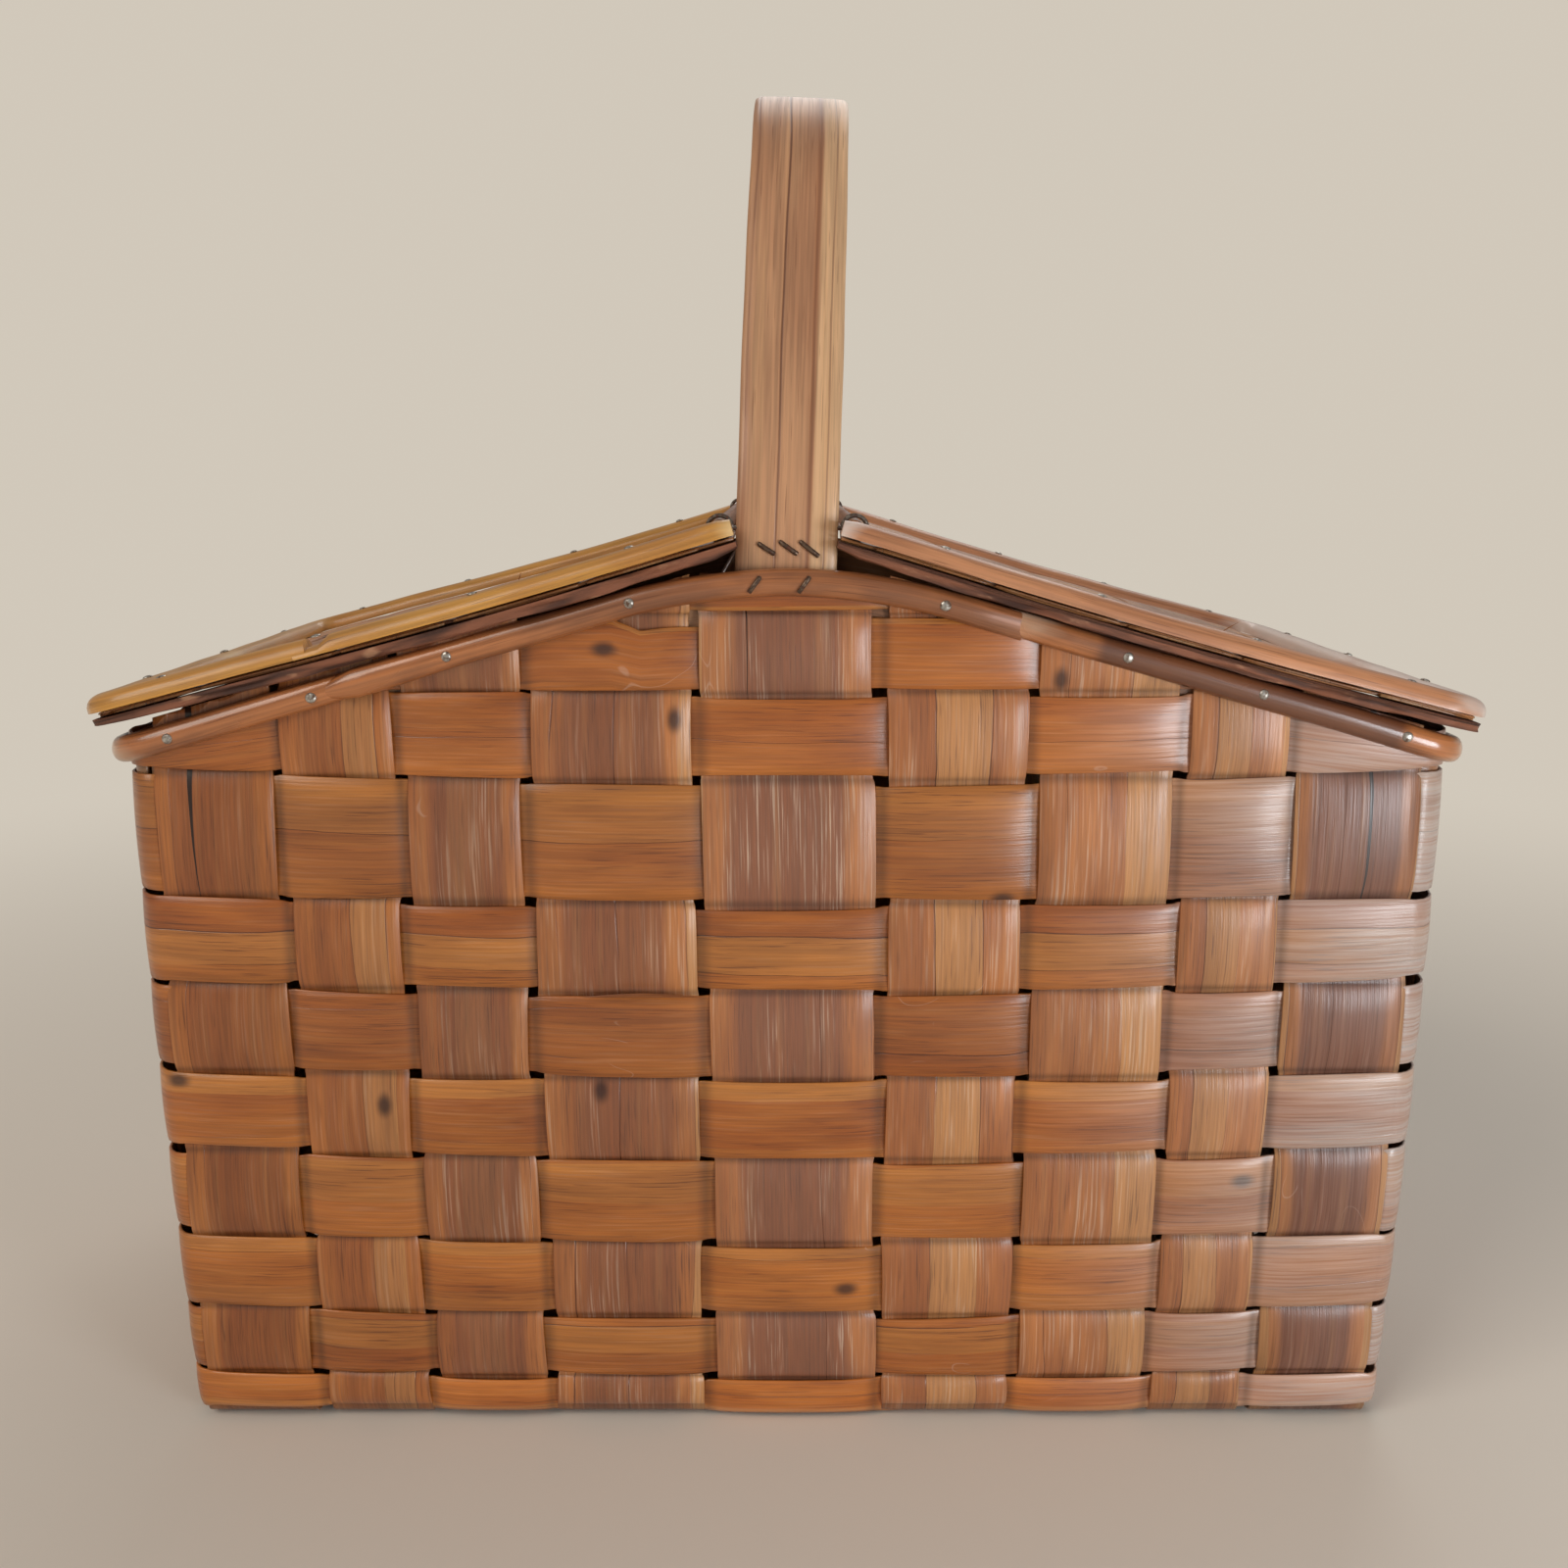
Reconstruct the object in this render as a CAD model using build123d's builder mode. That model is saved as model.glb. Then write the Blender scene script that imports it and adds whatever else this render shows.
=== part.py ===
from build123d import *
from math import atan2, cos, radians, sin, sqrt, tan
import os

os.makedirs("parts", exist_ok=True)

# Woven picnic basket with two lids and a fixed hoop handle. Sizes are in millimetres.
# The origin is on the floor at the middle of the basket and +Z is up. The basket is long in X
# and its front faces -Y. The hoop stands across the middle, and the lids open towards it.

# Splints and the weave
splint_t = 1.1  # thickness of a shaved wood splint
weave_air = 0.3  # air between two splints where they cross
lap = 0.2  # how far a splint runs straight past the one that it crosses
seat = 0.05  # fit between pieces that are nailed face to face
stake_gap = 4.0  # between two stakes side by side
row_gap = 2.5  # between two weaver rows
first_row_z = 4.0  # lower edge of the lowest weaver
floor_bend = 1.6  # how far in from the wall a stake reaches the floor
cross_stake_widths = (37.5, 34, 36, 50, 53, 42.5, 42.5, 31, 38.5)  # as cut, left to right
long_stake_widths = (37, 39, 40, 39, 37)  # as cut, front to back
row_heights = (11, 22, 25, 28, 26, 27, 27, 37.5, 25, 22, 12.5)  # as cut, from the floor up
gable_rows = 2  # rows that close only the two gables, above the last full ring

# The body, measured to the middle of the woven wall
base_half_x = 202.5
base_half_y = 109.0
rim_half_x = 208.0
rim_half_y = 118.2
bow_x = 2.5  # how far the end walls belly out
bow_y = 4.0  # how far the long walls belly out
belly_fade = 0.6  # share of the belly that is lost towards the corners
corner_x = 4.0  # from the outermost stake to the bottom corner, along X
corner_y = 5.0  # the same along Y

# The rim, a gable with a rounded peak over each long wall
rim_peak_z = 287.6  # middle of the rim at the peak
rim_peak_r = 190.0
rim_slope = 16.0  # degrees
reed_h = 8.5
reed_t = 4.25
reed_round = 3.2
reed_corner_r = 11.5
stake_stub = 1.5  # how far the wall stands above the middle of the rim
left_splice_x = -143.0
right_splice_x = 75.0
splice_gap = 0.3
band_t = 2.0  # inner rim band
band_below = 13.0
band_above = 4.0
band_leg_gap = 1.6  # between an inner band and the handle's leg

# The hoop handle, a flat bent band that leans a little to the right
handle_w = 31.5
handle_t = 3.6
handle_top_z = 450.0
handle_foot_z = 205.0
handle_shoulder_z = 322.0
handle_crown_half = 48.0
handle_shoulder_r = 80.0
handle_crown_r = 77.0
crown_fill = 0.98  # the most of the crown's flat that its two bends take
handle_lean = 2.0  # degrees
handle_play = 0.1  # between the leg and the wall in front of it

# The fixed slat between the lids
slat_half_w = 14.0
slat_z = 294.0
slat_t = 6.0

# The lids
lid_slope = 15.7  # degrees
hinge_x = 20.6
hinge_z = 304.0
rail_r = 3.0
hinge_play = 0.05
wire_r = 0.75
wire_depth = 6.0  # how far a hinge wire is driven into the handle's leg
lid_overhang_x = 6.3  # how far a lid stands out past the rim reed at its tip
lid_overhang_y = 2.25  # and at its front and back
lid_trim_w = 12.0
lid_strip_t = 4.0
lid_corner_r = 10.0
lid_trim_start = 6.5  # where the trim begins, clear of the hinge wires
lid_trim_round = 4.2
lid_mat_edge = 2.0  # how far the mat stops short of the trim's outer edge
lid_long_widths = (38, 40, 41, 39, 42, 38)  # as cut, front to back
lid_cross_widths = (30, 34, 29, 36, 31)  # as cut, from the hinge out
lid_gap = 3.0  # between two splints in the lid
lid_tongue = 1.0  # how far the middle splints reach in under the rail

# Nails
head_r = 1.65
head_t = 0.7
shank_r = 0.7
rim_nail_x = (48.0, 104.0, 146.0, 191.0)
rim_nail_y = (0.0, 70.0)
leg_nail_x = (-10.0, 0.0, 8.0)
leg_nail_len = 9.0
lid_nail_first = 28.0  # from the hinge axis
lid_nail_pitch = 50.0
lid_nail_rows = 4
lid_nail_y = (0.0, 75.0)
lid_nail_len = 4.5

# Worked out from the sizes above
weave_rise = (splint_t + weave_air) / 2
weave_half = weave_rise + splint_t / 2
rim_tangent_x = rim_peak_r * sin(radians(rim_slope))
rim_apex_z = rim_peak_z + rim_peak_r * (1 / cos(radians(rim_slope)) - 1)
beyond = 1.3 * rim_half_x


def rim_z(x):
    """Height of the middle of the rim at x."""
    if abs(x) < rim_tangent_x:
        return rim_peak_z - rim_peak_r + sqrt(rim_peak_r**2 - x**2)
    return rim_apex_z - abs(x) * tan(radians(rim_slope))


rim_end_z = rim_z(rim_half_x)


def spans(widths, start, end, gap):
    """Lay strips side by side from start to end, in proportion to their widths as cut."""
    room = end - start - gap * (len(widths) - 1)
    placed = []
    edge = start
    for width in widths:
        size = width * room / sum(widths)
        placed.append((edge, edge + size))
        edge += size + gap
    return placed


cross_spans = spans(cross_stake_widths, corner_x - base_half_x, base_half_x - corner_x, stake_gap)
long_spans = spans(long_stake_widths, corner_y - base_half_y, base_half_y - corner_y, stake_gap)
row_spans = spans(row_heights, first_row_z, rim_peak_z + reed_h / 2, row_gap)
full_rows = len(row_spans) - gable_rows


def middle(span):
    """Middle of a span."""
    return (span[0] + span[1]) / 2


def wall_at(base, rim, bow, row, along, half):
    """Distance of the woven wall's middle from the centre, in a row and at a place along the wall."""
    share = min(middle(row_spans[row]) / rim_end_z, 1)
    belly = bow * 4 * share * (1 - share) * (1 - belly_fade * (along / half) ** 2)
    return base + (rim - base) * share + belly


def long_wall(row, column):
    """Half depth of the basket where a weaver row crosses a cross stake."""
    return wall_at(base_half_y, rim_half_y, bow_y, row, middle(cross_spans[column]), rim_half_x)


def end_wall(row, column):
    """Half length of the basket where a weaver row crosses a long stake."""
    return wall_at(base_half_x, rim_half_x, bow_x, row, middle(long_spans[column]), rim_half_y)


def rows_above(height):
    """The rows that reach above a height."""
    return [row for row, span in enumerate(row_spans) if span[1] > height]


# Faces of the woven wall at the rim, where the reed lies outside it and the band and legs inside.
outside_x = rim_half_x + weave_half + seat
outside_y = rim_half_y + weave_half + seat
band_rows = rows_above(rim_end_z - band_below)
leg_rows = rows_above(min(handle_foot_z, rim_end_z - band_below))
inside_x = min(
    end_wall(row, column) for row in band_rows for column in range(len(long_spans))
) - weave_half - seat
inside_y = min(
    long_wall(row, column) for row in leg_rows for column in range(len(cross_spans))
) - weave_half - seat
leg_y = inside_y - handle_play + seat - handle_t / 2
corner_run_x = rim_half_x - cross_spans[-1][1]
corner_run_y = rim_half_y - long_spans[-1][1]
band_corner_r = max(corner_run_x, corner_run_y)
lid_half_y = outside_y + reed_t + lid_overhang_y
lid_reach = (outside_x + reed_t + lid_overhang_x - hinge_x) / cos(radians(lid_slope))


def side_line(points, shift, closed=False):
    """The line through points, moved sideways by shift and mitred at its corners."""
    line = [Vector(*point) for point in points]
    count = len(line)
    moved = []
    for n, here in enumerate(line):
        arriving = closed or n > 0
        leaving = closed or n < count - 1
        ahead = (line[(n + 1) % count] - here).normalized() if leaving else None
        back = (here - line[n - 1]).normalized() if arriving else ahead
        ahead = ahead or back
        normal_in = Vector(-back.Y, back.X)
        normal_out = Vector(-ahead.Y, ahead.X)
        moved.append(here + (normal_in + normal_out) * (shift / (1 + normal_in.dot(normal_out))))
    return moved


def splint(points, plane, width):
    """A splint bent along points in a plane, width wide from the plane on."""
    left = side_line(points, splint_t / 2)
    right = side_line(points, -splint_t / 2)
    with BuildPart() as strip:
        with BuildSketch(plane):
            with BuildLine():
                Polyline(*left, *reversed(right), close=True)
            make_face()
        extrude(amount=width)
    return strip


def save(piece, name):
    """Name a finished piece and write it."""
    piece.part.label = name
    export_step(piece.part, f"parts/{name}.step")


def rim_line(raised):
    """The rim's gable line in the XZ plane, raised by an amount."""
    end_z = rim_apex_z - beyond * tan(radians(rim_slope)) + raised
    return FilletPolyline(
        (-beyond, end_z), (0, rim_apex_z + raised), (beyond, end_z), radius=rim_peak_r
    )


# Everything in the wall stops at the rim line. This is the room under it.
with BuildPart() as under_rim:
    with BuildSketch(Plane.XZ):
        with BuildLine():
            slopes = rim_line(stake_stub)
            Polyline(slopes @ 0, (-beyond, -splint_t), (beyond, -splint_t), slopes @ 1)
        make_face()
    extrude(amount=beyond, both=True)


# Cross stakes: each is one splint, down the front wall, under the floor and up the back wall.
def cross_stake(column):
    """One U-shaped splint across the basket."""
    walls = []
    for row, (low, high) in enumerate(row_spans):
        inward = -weave_rise if (row + column) % 2 == 0 else weave_rise
        y = long_wall(row, column) + inward
        walls += [(y, low - lap), (y, high + lap)]
    floor = []
    for place, (near, far) in enumerate(long_spans):
        raised = -weave_rise if (place + column) % 2 == 0 else weave_rise
        floor += [(near - lap, weave_half + raised), (far + lap, weave_half + raised)]
    floor[0] = (floor_bend - walls[0][0], floor[0][1])
    floor[-1] = (walls[0][0] - floor_bend, floor[-1][1])
    front = [(-y, z) for y, z in reversed(walls)]
    start, end = cross_spans[column]
    return splint(front + floor + walls, Plane.YZ.offset(start), end - start)


for column in range(len(cross_spans)):
    stake = cross_stake(column)
    with stake:
        add(under_rim.part, mode=Mode.INTERSECT)
    save(stake, f"cross_stake_{column + 1}")


# Long stakes: each runs down one end wall, along the floor and up the other end wall.
def long_stake(column):
    """One U-shaped splint along the basket."""
    walls = []
    for row, (low, high) in enumerate(row_spans[:full_rows]):
        inward = -weave_rise if (row + column) % 2 == 1 else weave_rise
        x = end_wall(row, column) + inward
        walls += [(x, low - lap), (x, high + lap)]
    floor = []
    for place, (near, far) in enumerate(cross_spans):
        raised = weave_rise if (place + column) % 2 == 0 else -weave_rise
        floor += [(near - lap, weave_half + raised), (far + lap, weave_half + raised)]
    floor[0] = (floor_bend - walls[0][0], floor[0][1])
    floor[-1] = (walls[0][0] - floor_bend, floor[-1][1])
    left = [(-x, z) for x, z in reversed(walls)]
    start, end = long_spans[column]
    return splint(left + floor + walls, Plane.XZ.offset(-end), end - start)


for column in range(len(long_spans)):
    stake = long_stake(column)
    with stake:
        add(under_rim.part, mode=Mode.INTERSECT)
    save(stake, f"long_stake_{column + 1}")


# Weavers: each full row is a ring that passes over and under all the stakes in turn.
def wall_run(row, spots, wall, first):
    """A weaver's line along one wall, as (place along the wall, distance from the centre)."""
    line = []
    for place, (start, end) in enumerate(spots):
        outward = weave_rise if (row + first + place) % 2 == 0 else -weave_rise
        distance = wall(row, place) + outward
        line += [(start - lap, distance), (end + lap, distance)]
    return line


def round_corner(start, end, centre):
    """Points between start and end on the quarter oval about centre."""
    turned = []
    for angle in (30, 60):
        share_start = cos(radians(angle))
        share_end = sin(radians(angle))
        x = centre[0] + (start[0] - centre[0]) * share_start + (end[0] - centre[0]) * share_end
        y = centre[1] + (start[1] - centre[1]) * share_start + (end[1] - centre[1]) * share_end
        turned.append((x, y))
    return turned


def weaver_ring(row):
    """One full weaver, extruded over the height of its row."""
    front = [(x, -y) for x, y in wall_run(row, cross_spans, long_wall, 0)]
    right = [(x, y) for y, x in wall_run(row, long_spans, end_wall, len(cross_spans))]
    back = [(x, -y) for x, y in reversed(front)]
    left = [(-x, y) for x, y in reversed(right)]
    corners = []
    sides = (front, right, back, left)
    for place, side in enumerate(sides):
        following = sides[(place + 1) % len(sides)]
        start = side[-1]
        end = following[0]
        centre = (start[0], end[1]) if place % 2 == 0 else (end[0], start[1])
        corners += side + round_corner(start, end, centre)
    low, high = row_spans[row]
    with BuildPart() as ring:
        with BuildSketch(Plane.XY.offset(low)):
            with BuildLine():
                Polyline(*side_line(corners, -splint_t / 2, closed=True), close=True)
            make_face()
            with BuildLine():
                Polyline(*side_line(corners, splint_t / 2, closed=True), close=True)
            make_face(mode=Mode.SUBTRACT)
        extrude(amount=high - low)
        add(under_rim.part, mode=Mode.INTERSECT)
    return ring


for row in range(full_rows):
    save(weaver_ring(row), f"weaver_{row + 1}")


# Gable weavers: short strips that close the peak of the front and of the back wall.
for row in range(full_rows, len(row_spans)):
    run = wall_run(row, cross_spans, long_wall, 0)
    low, high = row_spans[row]
    for side, wall_name in ((-1, "front"), (1, "back")):
        gable_strip = splint([(x, side * y) for x, y in run], Plane.XY.offset(low), high - low)
        with gable_strip:
            add(under_rim.part, mode=Mode.INTERSECT)
        save(gable_strip, f"gable_weaver_{wall_name}_{row + 1}")


# The rim: a half-round reed outside the wall and a flat band inside it, nailed through.
def rim_slice(above, below):
    """The room between two copies of the rim line, moved up by above and down by below."""
    with BuildPart() as room:
        with BuildSketch(Plane.XZ):
            with BuildLine():
                upper = rim_line(above)
                lower = rim_line(-below)
                Line(upper @ 0, lower @ 0)
                Line(upper @ 1, lower @ 1)
            make_face()
        extrude(amount=beyond, both=True)
    return room


def rim_ring(half_x, half_y, corner_r, thickness, above, below):
    """A rim piece all round the wall, whose inner outline is given."""
    with BuildPart() as ring:
        with BuildSketch(Plane.XY):
            RectangleRounded(
                2 * (half_x + thickness), 2 * (half_y + thickness), corner_r + thickness
            )
            RectangleRounded(2 * half_x, 2 * half_y, corner_r, mode=Mode.SUBTRACT)
        extrude(amount=rim_apex_z + above)
        add(rim_slice(above, below).part, mode=Mode.INTERSECT)
    return ring


reed_ring = rim_ring(outside_x, outside_y, reed_corner_r, reed_t, reed_h / 2, reed_h / 2)
with reed_ring:
    outer_top = reed_ring.edges().filter_by(
        lambda e: e.length > reed_t * 1.2
        and (
            abs(e.center().X) > outside_x + reed_t * 0.9
            or abs(e.center().Y) > outside_y + reed_t * 0.9
        )
    )
    fillet(outer_top, radius=reed_round)

with BuildPart() as rim_reed_front:
    add(reed_ring.part)
    with Locations(((left_splice_x + right_splice_x) / 2, -outside_y, rim_peak_z)):
        Box(
            right_splice_x - left_splice_x - splice_gap,
            4 * reed_t,
            2 * rim_peak_z,
            mode=Mode.INTERSECT,
        )
save(rim_reed_front, "rim_reed_front")

with BuildPart() as rim_reed_round:
    add(reed_ring.part)
    with Locations(((left_splice_x + right_splice_x) / 2, -outside_y, rim_peak_z)):
        Box(
            right_splice_x - left_splice_x + splice_gap,
            4 * reed_t,
            2 * rim_peak_z,
            mode=Mode.SUBTRACT,
        )
save(rim_reed_round, "rim_reed_round")

# Each inner band stops at the sides of the handle's legs.
for side, end_name in ((-1, "left"), (1, "right")):
    band = rim_ring(
        inside_x - band_t, inside_y - band_t, band_corner_r - band_t, band_t, band_above, band_below
    )
    leg_room = handle_w / 2 + band_leg_gap
    with band:
        with Locations((side * (leg_room + beyond / 2), 0, rim_peak_z)):
            Box(beyond, beyond, 2 * rim_peak_z, mode=Mode.INTERSECT)
    save(band, f"inner_band_{end_name}")


# The handle: a flat band bent to a hoop, its legs inside the long walls. On a narrow basket its
# two upper bends are tighter, so that they still meet the flat between them.
crown_turn = atan2(handle_top_z - handle_t / 2 - handle_shoulder_z, leg_y - handle_crown_half)
crown_room = crown_fill * handle_crown_half / tan(crown_turn / 2)
crown_r = min(handle_crown_r, crown_room)


def hoop_line(inset):
    """The hoop's edge line, inset from its middle line."""
    return FilletPolyline(
        (inset - leg_y, handle_foot_z),
        (inset - leg_y, handle_shoulder_z),
        (inset - handle_crown_half, handle_top_z - handle_t / 2 - inset),
        (handle_crown_half - inset, handle_top_z - handle_t / 2 - inset),
        (leg_y - inset, handle_shoulder_z),
        (leg_y - inset, handle_foot_z),
        radius=(
            handle_shoulder_r - inset,
            crown_r - inset,
            crown_r - inset,
            handle_shoulder_r - inset,
        ),
    )


lean = radians(handle_lean)
hoop_plane = Plane(
    origin=(-sin(lean) * hinge_z, 0, hinge_z * (1 - cos(lean))),
    x_dir=(0, 1, 0),
    z_dir=(cos(lean), 0, -sin(lean)),
)
with BuildPart() as handle:
    with BuildSketch(hoop_plane):
        with BuildLine():
            outer = hoop_line(-handle_t / 2)
            inner = hoop_line(handle_t / 2)
            Line(outer @ 0, inner @ 0)
            Line(outer @ 1, inner @ 1)
        make_face()
    extrude(amount=handle_w / 2, both=True)
    # Holes for the four hinge wires, in the edges of the legs.
    for side in (-1, 1):
        for end in (-1, 1):
            with BuildSketch(Plane.YZ.offset(side * (handle_w / 2 - wire_depth))):
                with Locations((end * leg_y, hinge_z)):
                    Circle(wire_r + hinge_play)
            extrude(amount=side * wire_depth * 2, mode=Mode.SUBTRACT)
save(handle, "handle")

# The slat under the hoop fills the gap between the lids. It is nailed through both legs.
slat_half_y = leg_y - handle_t / 2 - seat
with BuildPart() as centre_slat:
    with BuildSketch(Plane.XY.offset(slat_z)):
        Rectangle(2 * slat_half_w, 2 * slat_half_y)
    extrude(amount=slat_t)
    fillet(centre_slat.edges().filter_by(Axis.Y), radius=slat_t / 4)
save(centre_slat, "centre_slat")

# Hinge wires: an eye round each end of the lid's rail, its tail driven into the handle's leg.
for side, lid_name in ((-1, "left"), (1, "right")):
    eye_r = rail_r + hinge_play + wire_r
    with BuildPart() as hinge_wires:
        for end in (-1, 1):
            with Locations(Location((side * hinge_x, end * leg_y, hinge_z), (90, 0, 0))):
                Torus(eye_r, wire_r)
            with BuildSketch(Plane.YZ.offset(side * (handle_w / 2 - wire_depth + hinge_play))):
                with Locations((end * leg_y, hinge_z)):
                    Circle(wire_r)
            extrude(amount=side * (hinge_x - eye_r - handle_w / 2 + wire_depth - hinge_play))
    save(hinge_wires, f"{lid_name}_hinge_wires")


# Nails
def nails(places, length):
    """A group of nails, each with its head lying on a plane."""
    with BuildPart() as group:
        for place in places:
            with BuildSketch(place):
                Circle(head_r)
            extrude(amount=head_t, taper=20)
            with BuildSketch(place):
                Circle(shank_r)
            extrude(amount=-length)
    return group


rim_places = []
for side in (-1, 1):
    for x in rim_nail_x:
        for end in (-1, 1):
            spot = (end * x, side * (outside_y + reed_t), rim_z(x))
            rim_places.append(Plane(origin=spot, x_dir=(1, 0, 0), z_dir=(0, side, 0)))
    for y in sorted({end * y for y in rim_nail_y for end in (-1, 1)}):
        spot = (side * (outside_x + reed_t), y, rim_z(outside_x + reed_t))
        rim_places.append(Plane(origin=spot, x_dir=(0, 1, 0), z_dir=(side, 0, 0)))
save(nails(rim_places, reed_t), "rim_nails")

leg_places = []
for side in (-1, 1):
    for x in leg_nail_x:
        spot = (x, side * (leg_y + handle_t / 2), slat_z + slat_t / 2)
        leg_places.append(Plane(origin=spot, x_dir=(1, 0, 0), z_dir=(0, side, 0)))
save(nails(leg_places, leg_nail_len), "leg_nails")

# The lids. Each turns on the round rail at its inner edge. Its layers are, from the top, the
# half-round trim, the woven mat and the flat strip under the edge.
mat_middle = -rail_r - seat - weave_half
trim_t = rail_r - mat_middle - weave_half - seat
strip_top = mat_middle - weave_half - seat
mat_end = lid_reach - lid_mat_edge
mat_half_y = lid_half_y - lid_mat_edge
lid_long_spans = spans(lid_long_widths, -mat_half_y, mat_half_y, lid_gap)
lid_cross_spans = spans(lid_cross_widths, lid_trim_start + lap, mat_end - lap, lid_gap)


def lid_trim(plane, thickness):
    """A U-shaped edge strip round the front, the tip and the back of a lid."""
    with BuildPart() as trim:
        with BuildSketch(plane):
            with Locations((lid_reach / 2, 0)):
                RectangleRounded(lid_reach, 2 * lid_half_y, lid_corner_r)
            with Locations((lid_reach / 2 - lid_trim_w, 0)):
                Rectangle(lid_reach, 2 * (lid_half_y - lid_trim_w), mode=Mode.SUBTRACT)
            with Locations((lid_trim_start / 2, 0)):
                Rectangle(lid_trim_start, 3 * lid_half_y, mode=Mode.SUBTRACT)
        extrude(amount=thickness)
    return trim


for side, lid_name in ((-1, "left"), (1, "right")):
    tilt = radians(lid_slope)
    outward = Vector(side * cos(tilt), 0, -sin(tilt))
    upward = Vector(side * sin(tilt), 0, cos(tilt))
    across = outward.cross(upward)
    sideways = Vector(0, 1, 0)
    axis_point = Vector(side * hinge_x, 0, hinge_z)

    # The rail is one round stick, loose in the eyes of its hinge wires.
    with BuildPart() as rail:
        with BuildSketch(Plane(origin=axis_point - sideways * (lid_half_y - lid_mat_edge),
                               x_dir=outward, z_dir=sideways)):
            Circle(rail_r)
        extrude(amount=2 * (lid_half_y - lid_mat_edge))
    save(rail, f"{lid_name}_lid_rail")

    # Top trim, a half-round reed bent round three sides.
    top_trim = lid_trim(
        Plane(origin=axis_point + upward * (rail_r - trim_t), x_dir=outward, z_dir=upward), trim_t
    )
    with top_trim:
        crown = top_trim.faces().filter_by(lambda f: f.normal_at().dot(upward) > 0.99)
        fillet(crown.edges().filter_by(lambda e: e.length > lid_trim_w + seat), lid_trim_round)
    save(top_trim, f"{lid_name}_lid_top_trim")

    # Under strip, flat and rough, below the mat's edge.
    under_strip = lid_trim(
        Plane(origin=axis_point + upward * (strip_top - lid_strip_t), x_dir=outward, z_dir=upward),
        lid_strip_t,
    )
    save(under_strip, f"{lid_name}_lid_under_strip")

    # Splints along the slope. The middle ones reach in under the rail.
    long_strips = []
    for place, (start, end) in enumerate(lid_long_spans):
        line = []
        for crossing, (near, far) in enumerate(lid_cross_spans):
            height = weave_rise if (place + crossing) % 2 == 0 else -weave_rise
            line += [(near - lap, mat_middle + height), (far + lap, mat_middle + height)]
        outermost = place in (0, len(lid_long_spans) - 1)
        line[0] = (lid_trim_start if outermost else -lid_tongue, line[0][1])
        plane = Plane(
            origin=axis_point + sideways * middle((start, end)) - across * ((end - start) / 2),
            x_dir=outward,
            z_dir=across,
        )
        long_strips.append(splint(line, plane, end - start).part)
    with BuildPart() as long_splints:
        add(long_strips)
    save(long_splints, f"{lid_name}_lid_long_splints")

    # Splints across the slope.
    cross_strips = []
    for crossing, (near, far) in enumerate(lid_cross_spans):
        line = []
        for place, (start, end) in enumerate(lid_long_spans):
            height = -weave_rise if (place + crossing) % 2 == 0 else weave_rise
            line += [(start - lap, mat_middle + height), (end + lap, mat_middle + height)]
        line = [(-mat_half_y, line[0][1])] + line[1:-1] + [(mat_half_y, line[-1][1])]
        turn = sideways.cross(upward)
        plane = Plane(
            origin=axis_point + outward * middle((near, far)) - turn * ((far - near) / 2),
            x_dir=sideways,
            z_dir=turn,
        )
        cross_strips.append(splint(line, plane, far - near).part)
    with BuildPart() as cross_splints:
        add(cross_strips)
    save(cross_splints, f"{lid_name}_lid_cross_splints")

    # Nails down through the top trim.
    lid_places = []
    for nail_row in range(lid_nail_rows):
        u = lid_nail_first + nail_row * lid_nail_pitch
        for end in (-1, 1):
            y = end * (lid_half_y - lid_trim_w / 2)
            spot = axis_point + outward * u + sideways * y + upward * rail_r
            lid_places.append(Plane(origin=spot, x_dir=outward, z_dir=upward))
    for y in sorted({end * y for y in lid_nail_y for end in (-1, 1)}):
        spot = axis_point + outward * (lid_reach - lid_trim_w / 2) + sideways * y + upward * rail_r
        lid_places.append(Plane(origin=spot, x_dir=outward, z_dir=upward))
    save(nails(lid_places, lid_nail_len), f"{lid_name}_lid_nails")
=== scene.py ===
import math
import random
import bpy
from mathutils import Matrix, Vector


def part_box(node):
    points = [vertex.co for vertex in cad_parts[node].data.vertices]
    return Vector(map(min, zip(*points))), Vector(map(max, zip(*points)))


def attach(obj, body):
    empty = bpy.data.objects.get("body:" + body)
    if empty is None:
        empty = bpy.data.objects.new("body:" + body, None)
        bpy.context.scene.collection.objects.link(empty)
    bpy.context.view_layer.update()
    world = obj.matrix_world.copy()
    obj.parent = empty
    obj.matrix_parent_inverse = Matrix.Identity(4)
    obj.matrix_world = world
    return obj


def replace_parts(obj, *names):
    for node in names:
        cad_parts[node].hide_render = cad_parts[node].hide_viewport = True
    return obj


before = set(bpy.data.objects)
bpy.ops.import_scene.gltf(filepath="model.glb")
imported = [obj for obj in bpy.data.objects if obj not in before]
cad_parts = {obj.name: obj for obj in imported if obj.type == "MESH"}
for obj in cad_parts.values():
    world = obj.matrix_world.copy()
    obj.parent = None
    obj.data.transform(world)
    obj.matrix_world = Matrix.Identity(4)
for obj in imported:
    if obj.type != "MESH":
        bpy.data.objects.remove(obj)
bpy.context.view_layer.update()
MM = 0.001

# The view. The basket is seen from close in front and a little above, so that the lids' far
# corners show over their near edges.
LOOKS_DOWN = 11.3  # degrees
camera_data = bpy.data.cameras.new("camera")
camera = bpy.data.objects.new("camera", camera_data)
bpy.context.scene.collection.objects.link(camera)
camera.location = (-0.001, -0.609, 0.323)
camera.rotation_euler = (math.radians(90 - LOOKS_DOWN), 0, 0)
camera_data.lens = 36.7
camera_data.sensor_width = 36
camera_data.clip_start = 0.01
bpy.context.scene.camera = camera
bpy.context.scene.view_settings.view_transform = "Standard"


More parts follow.
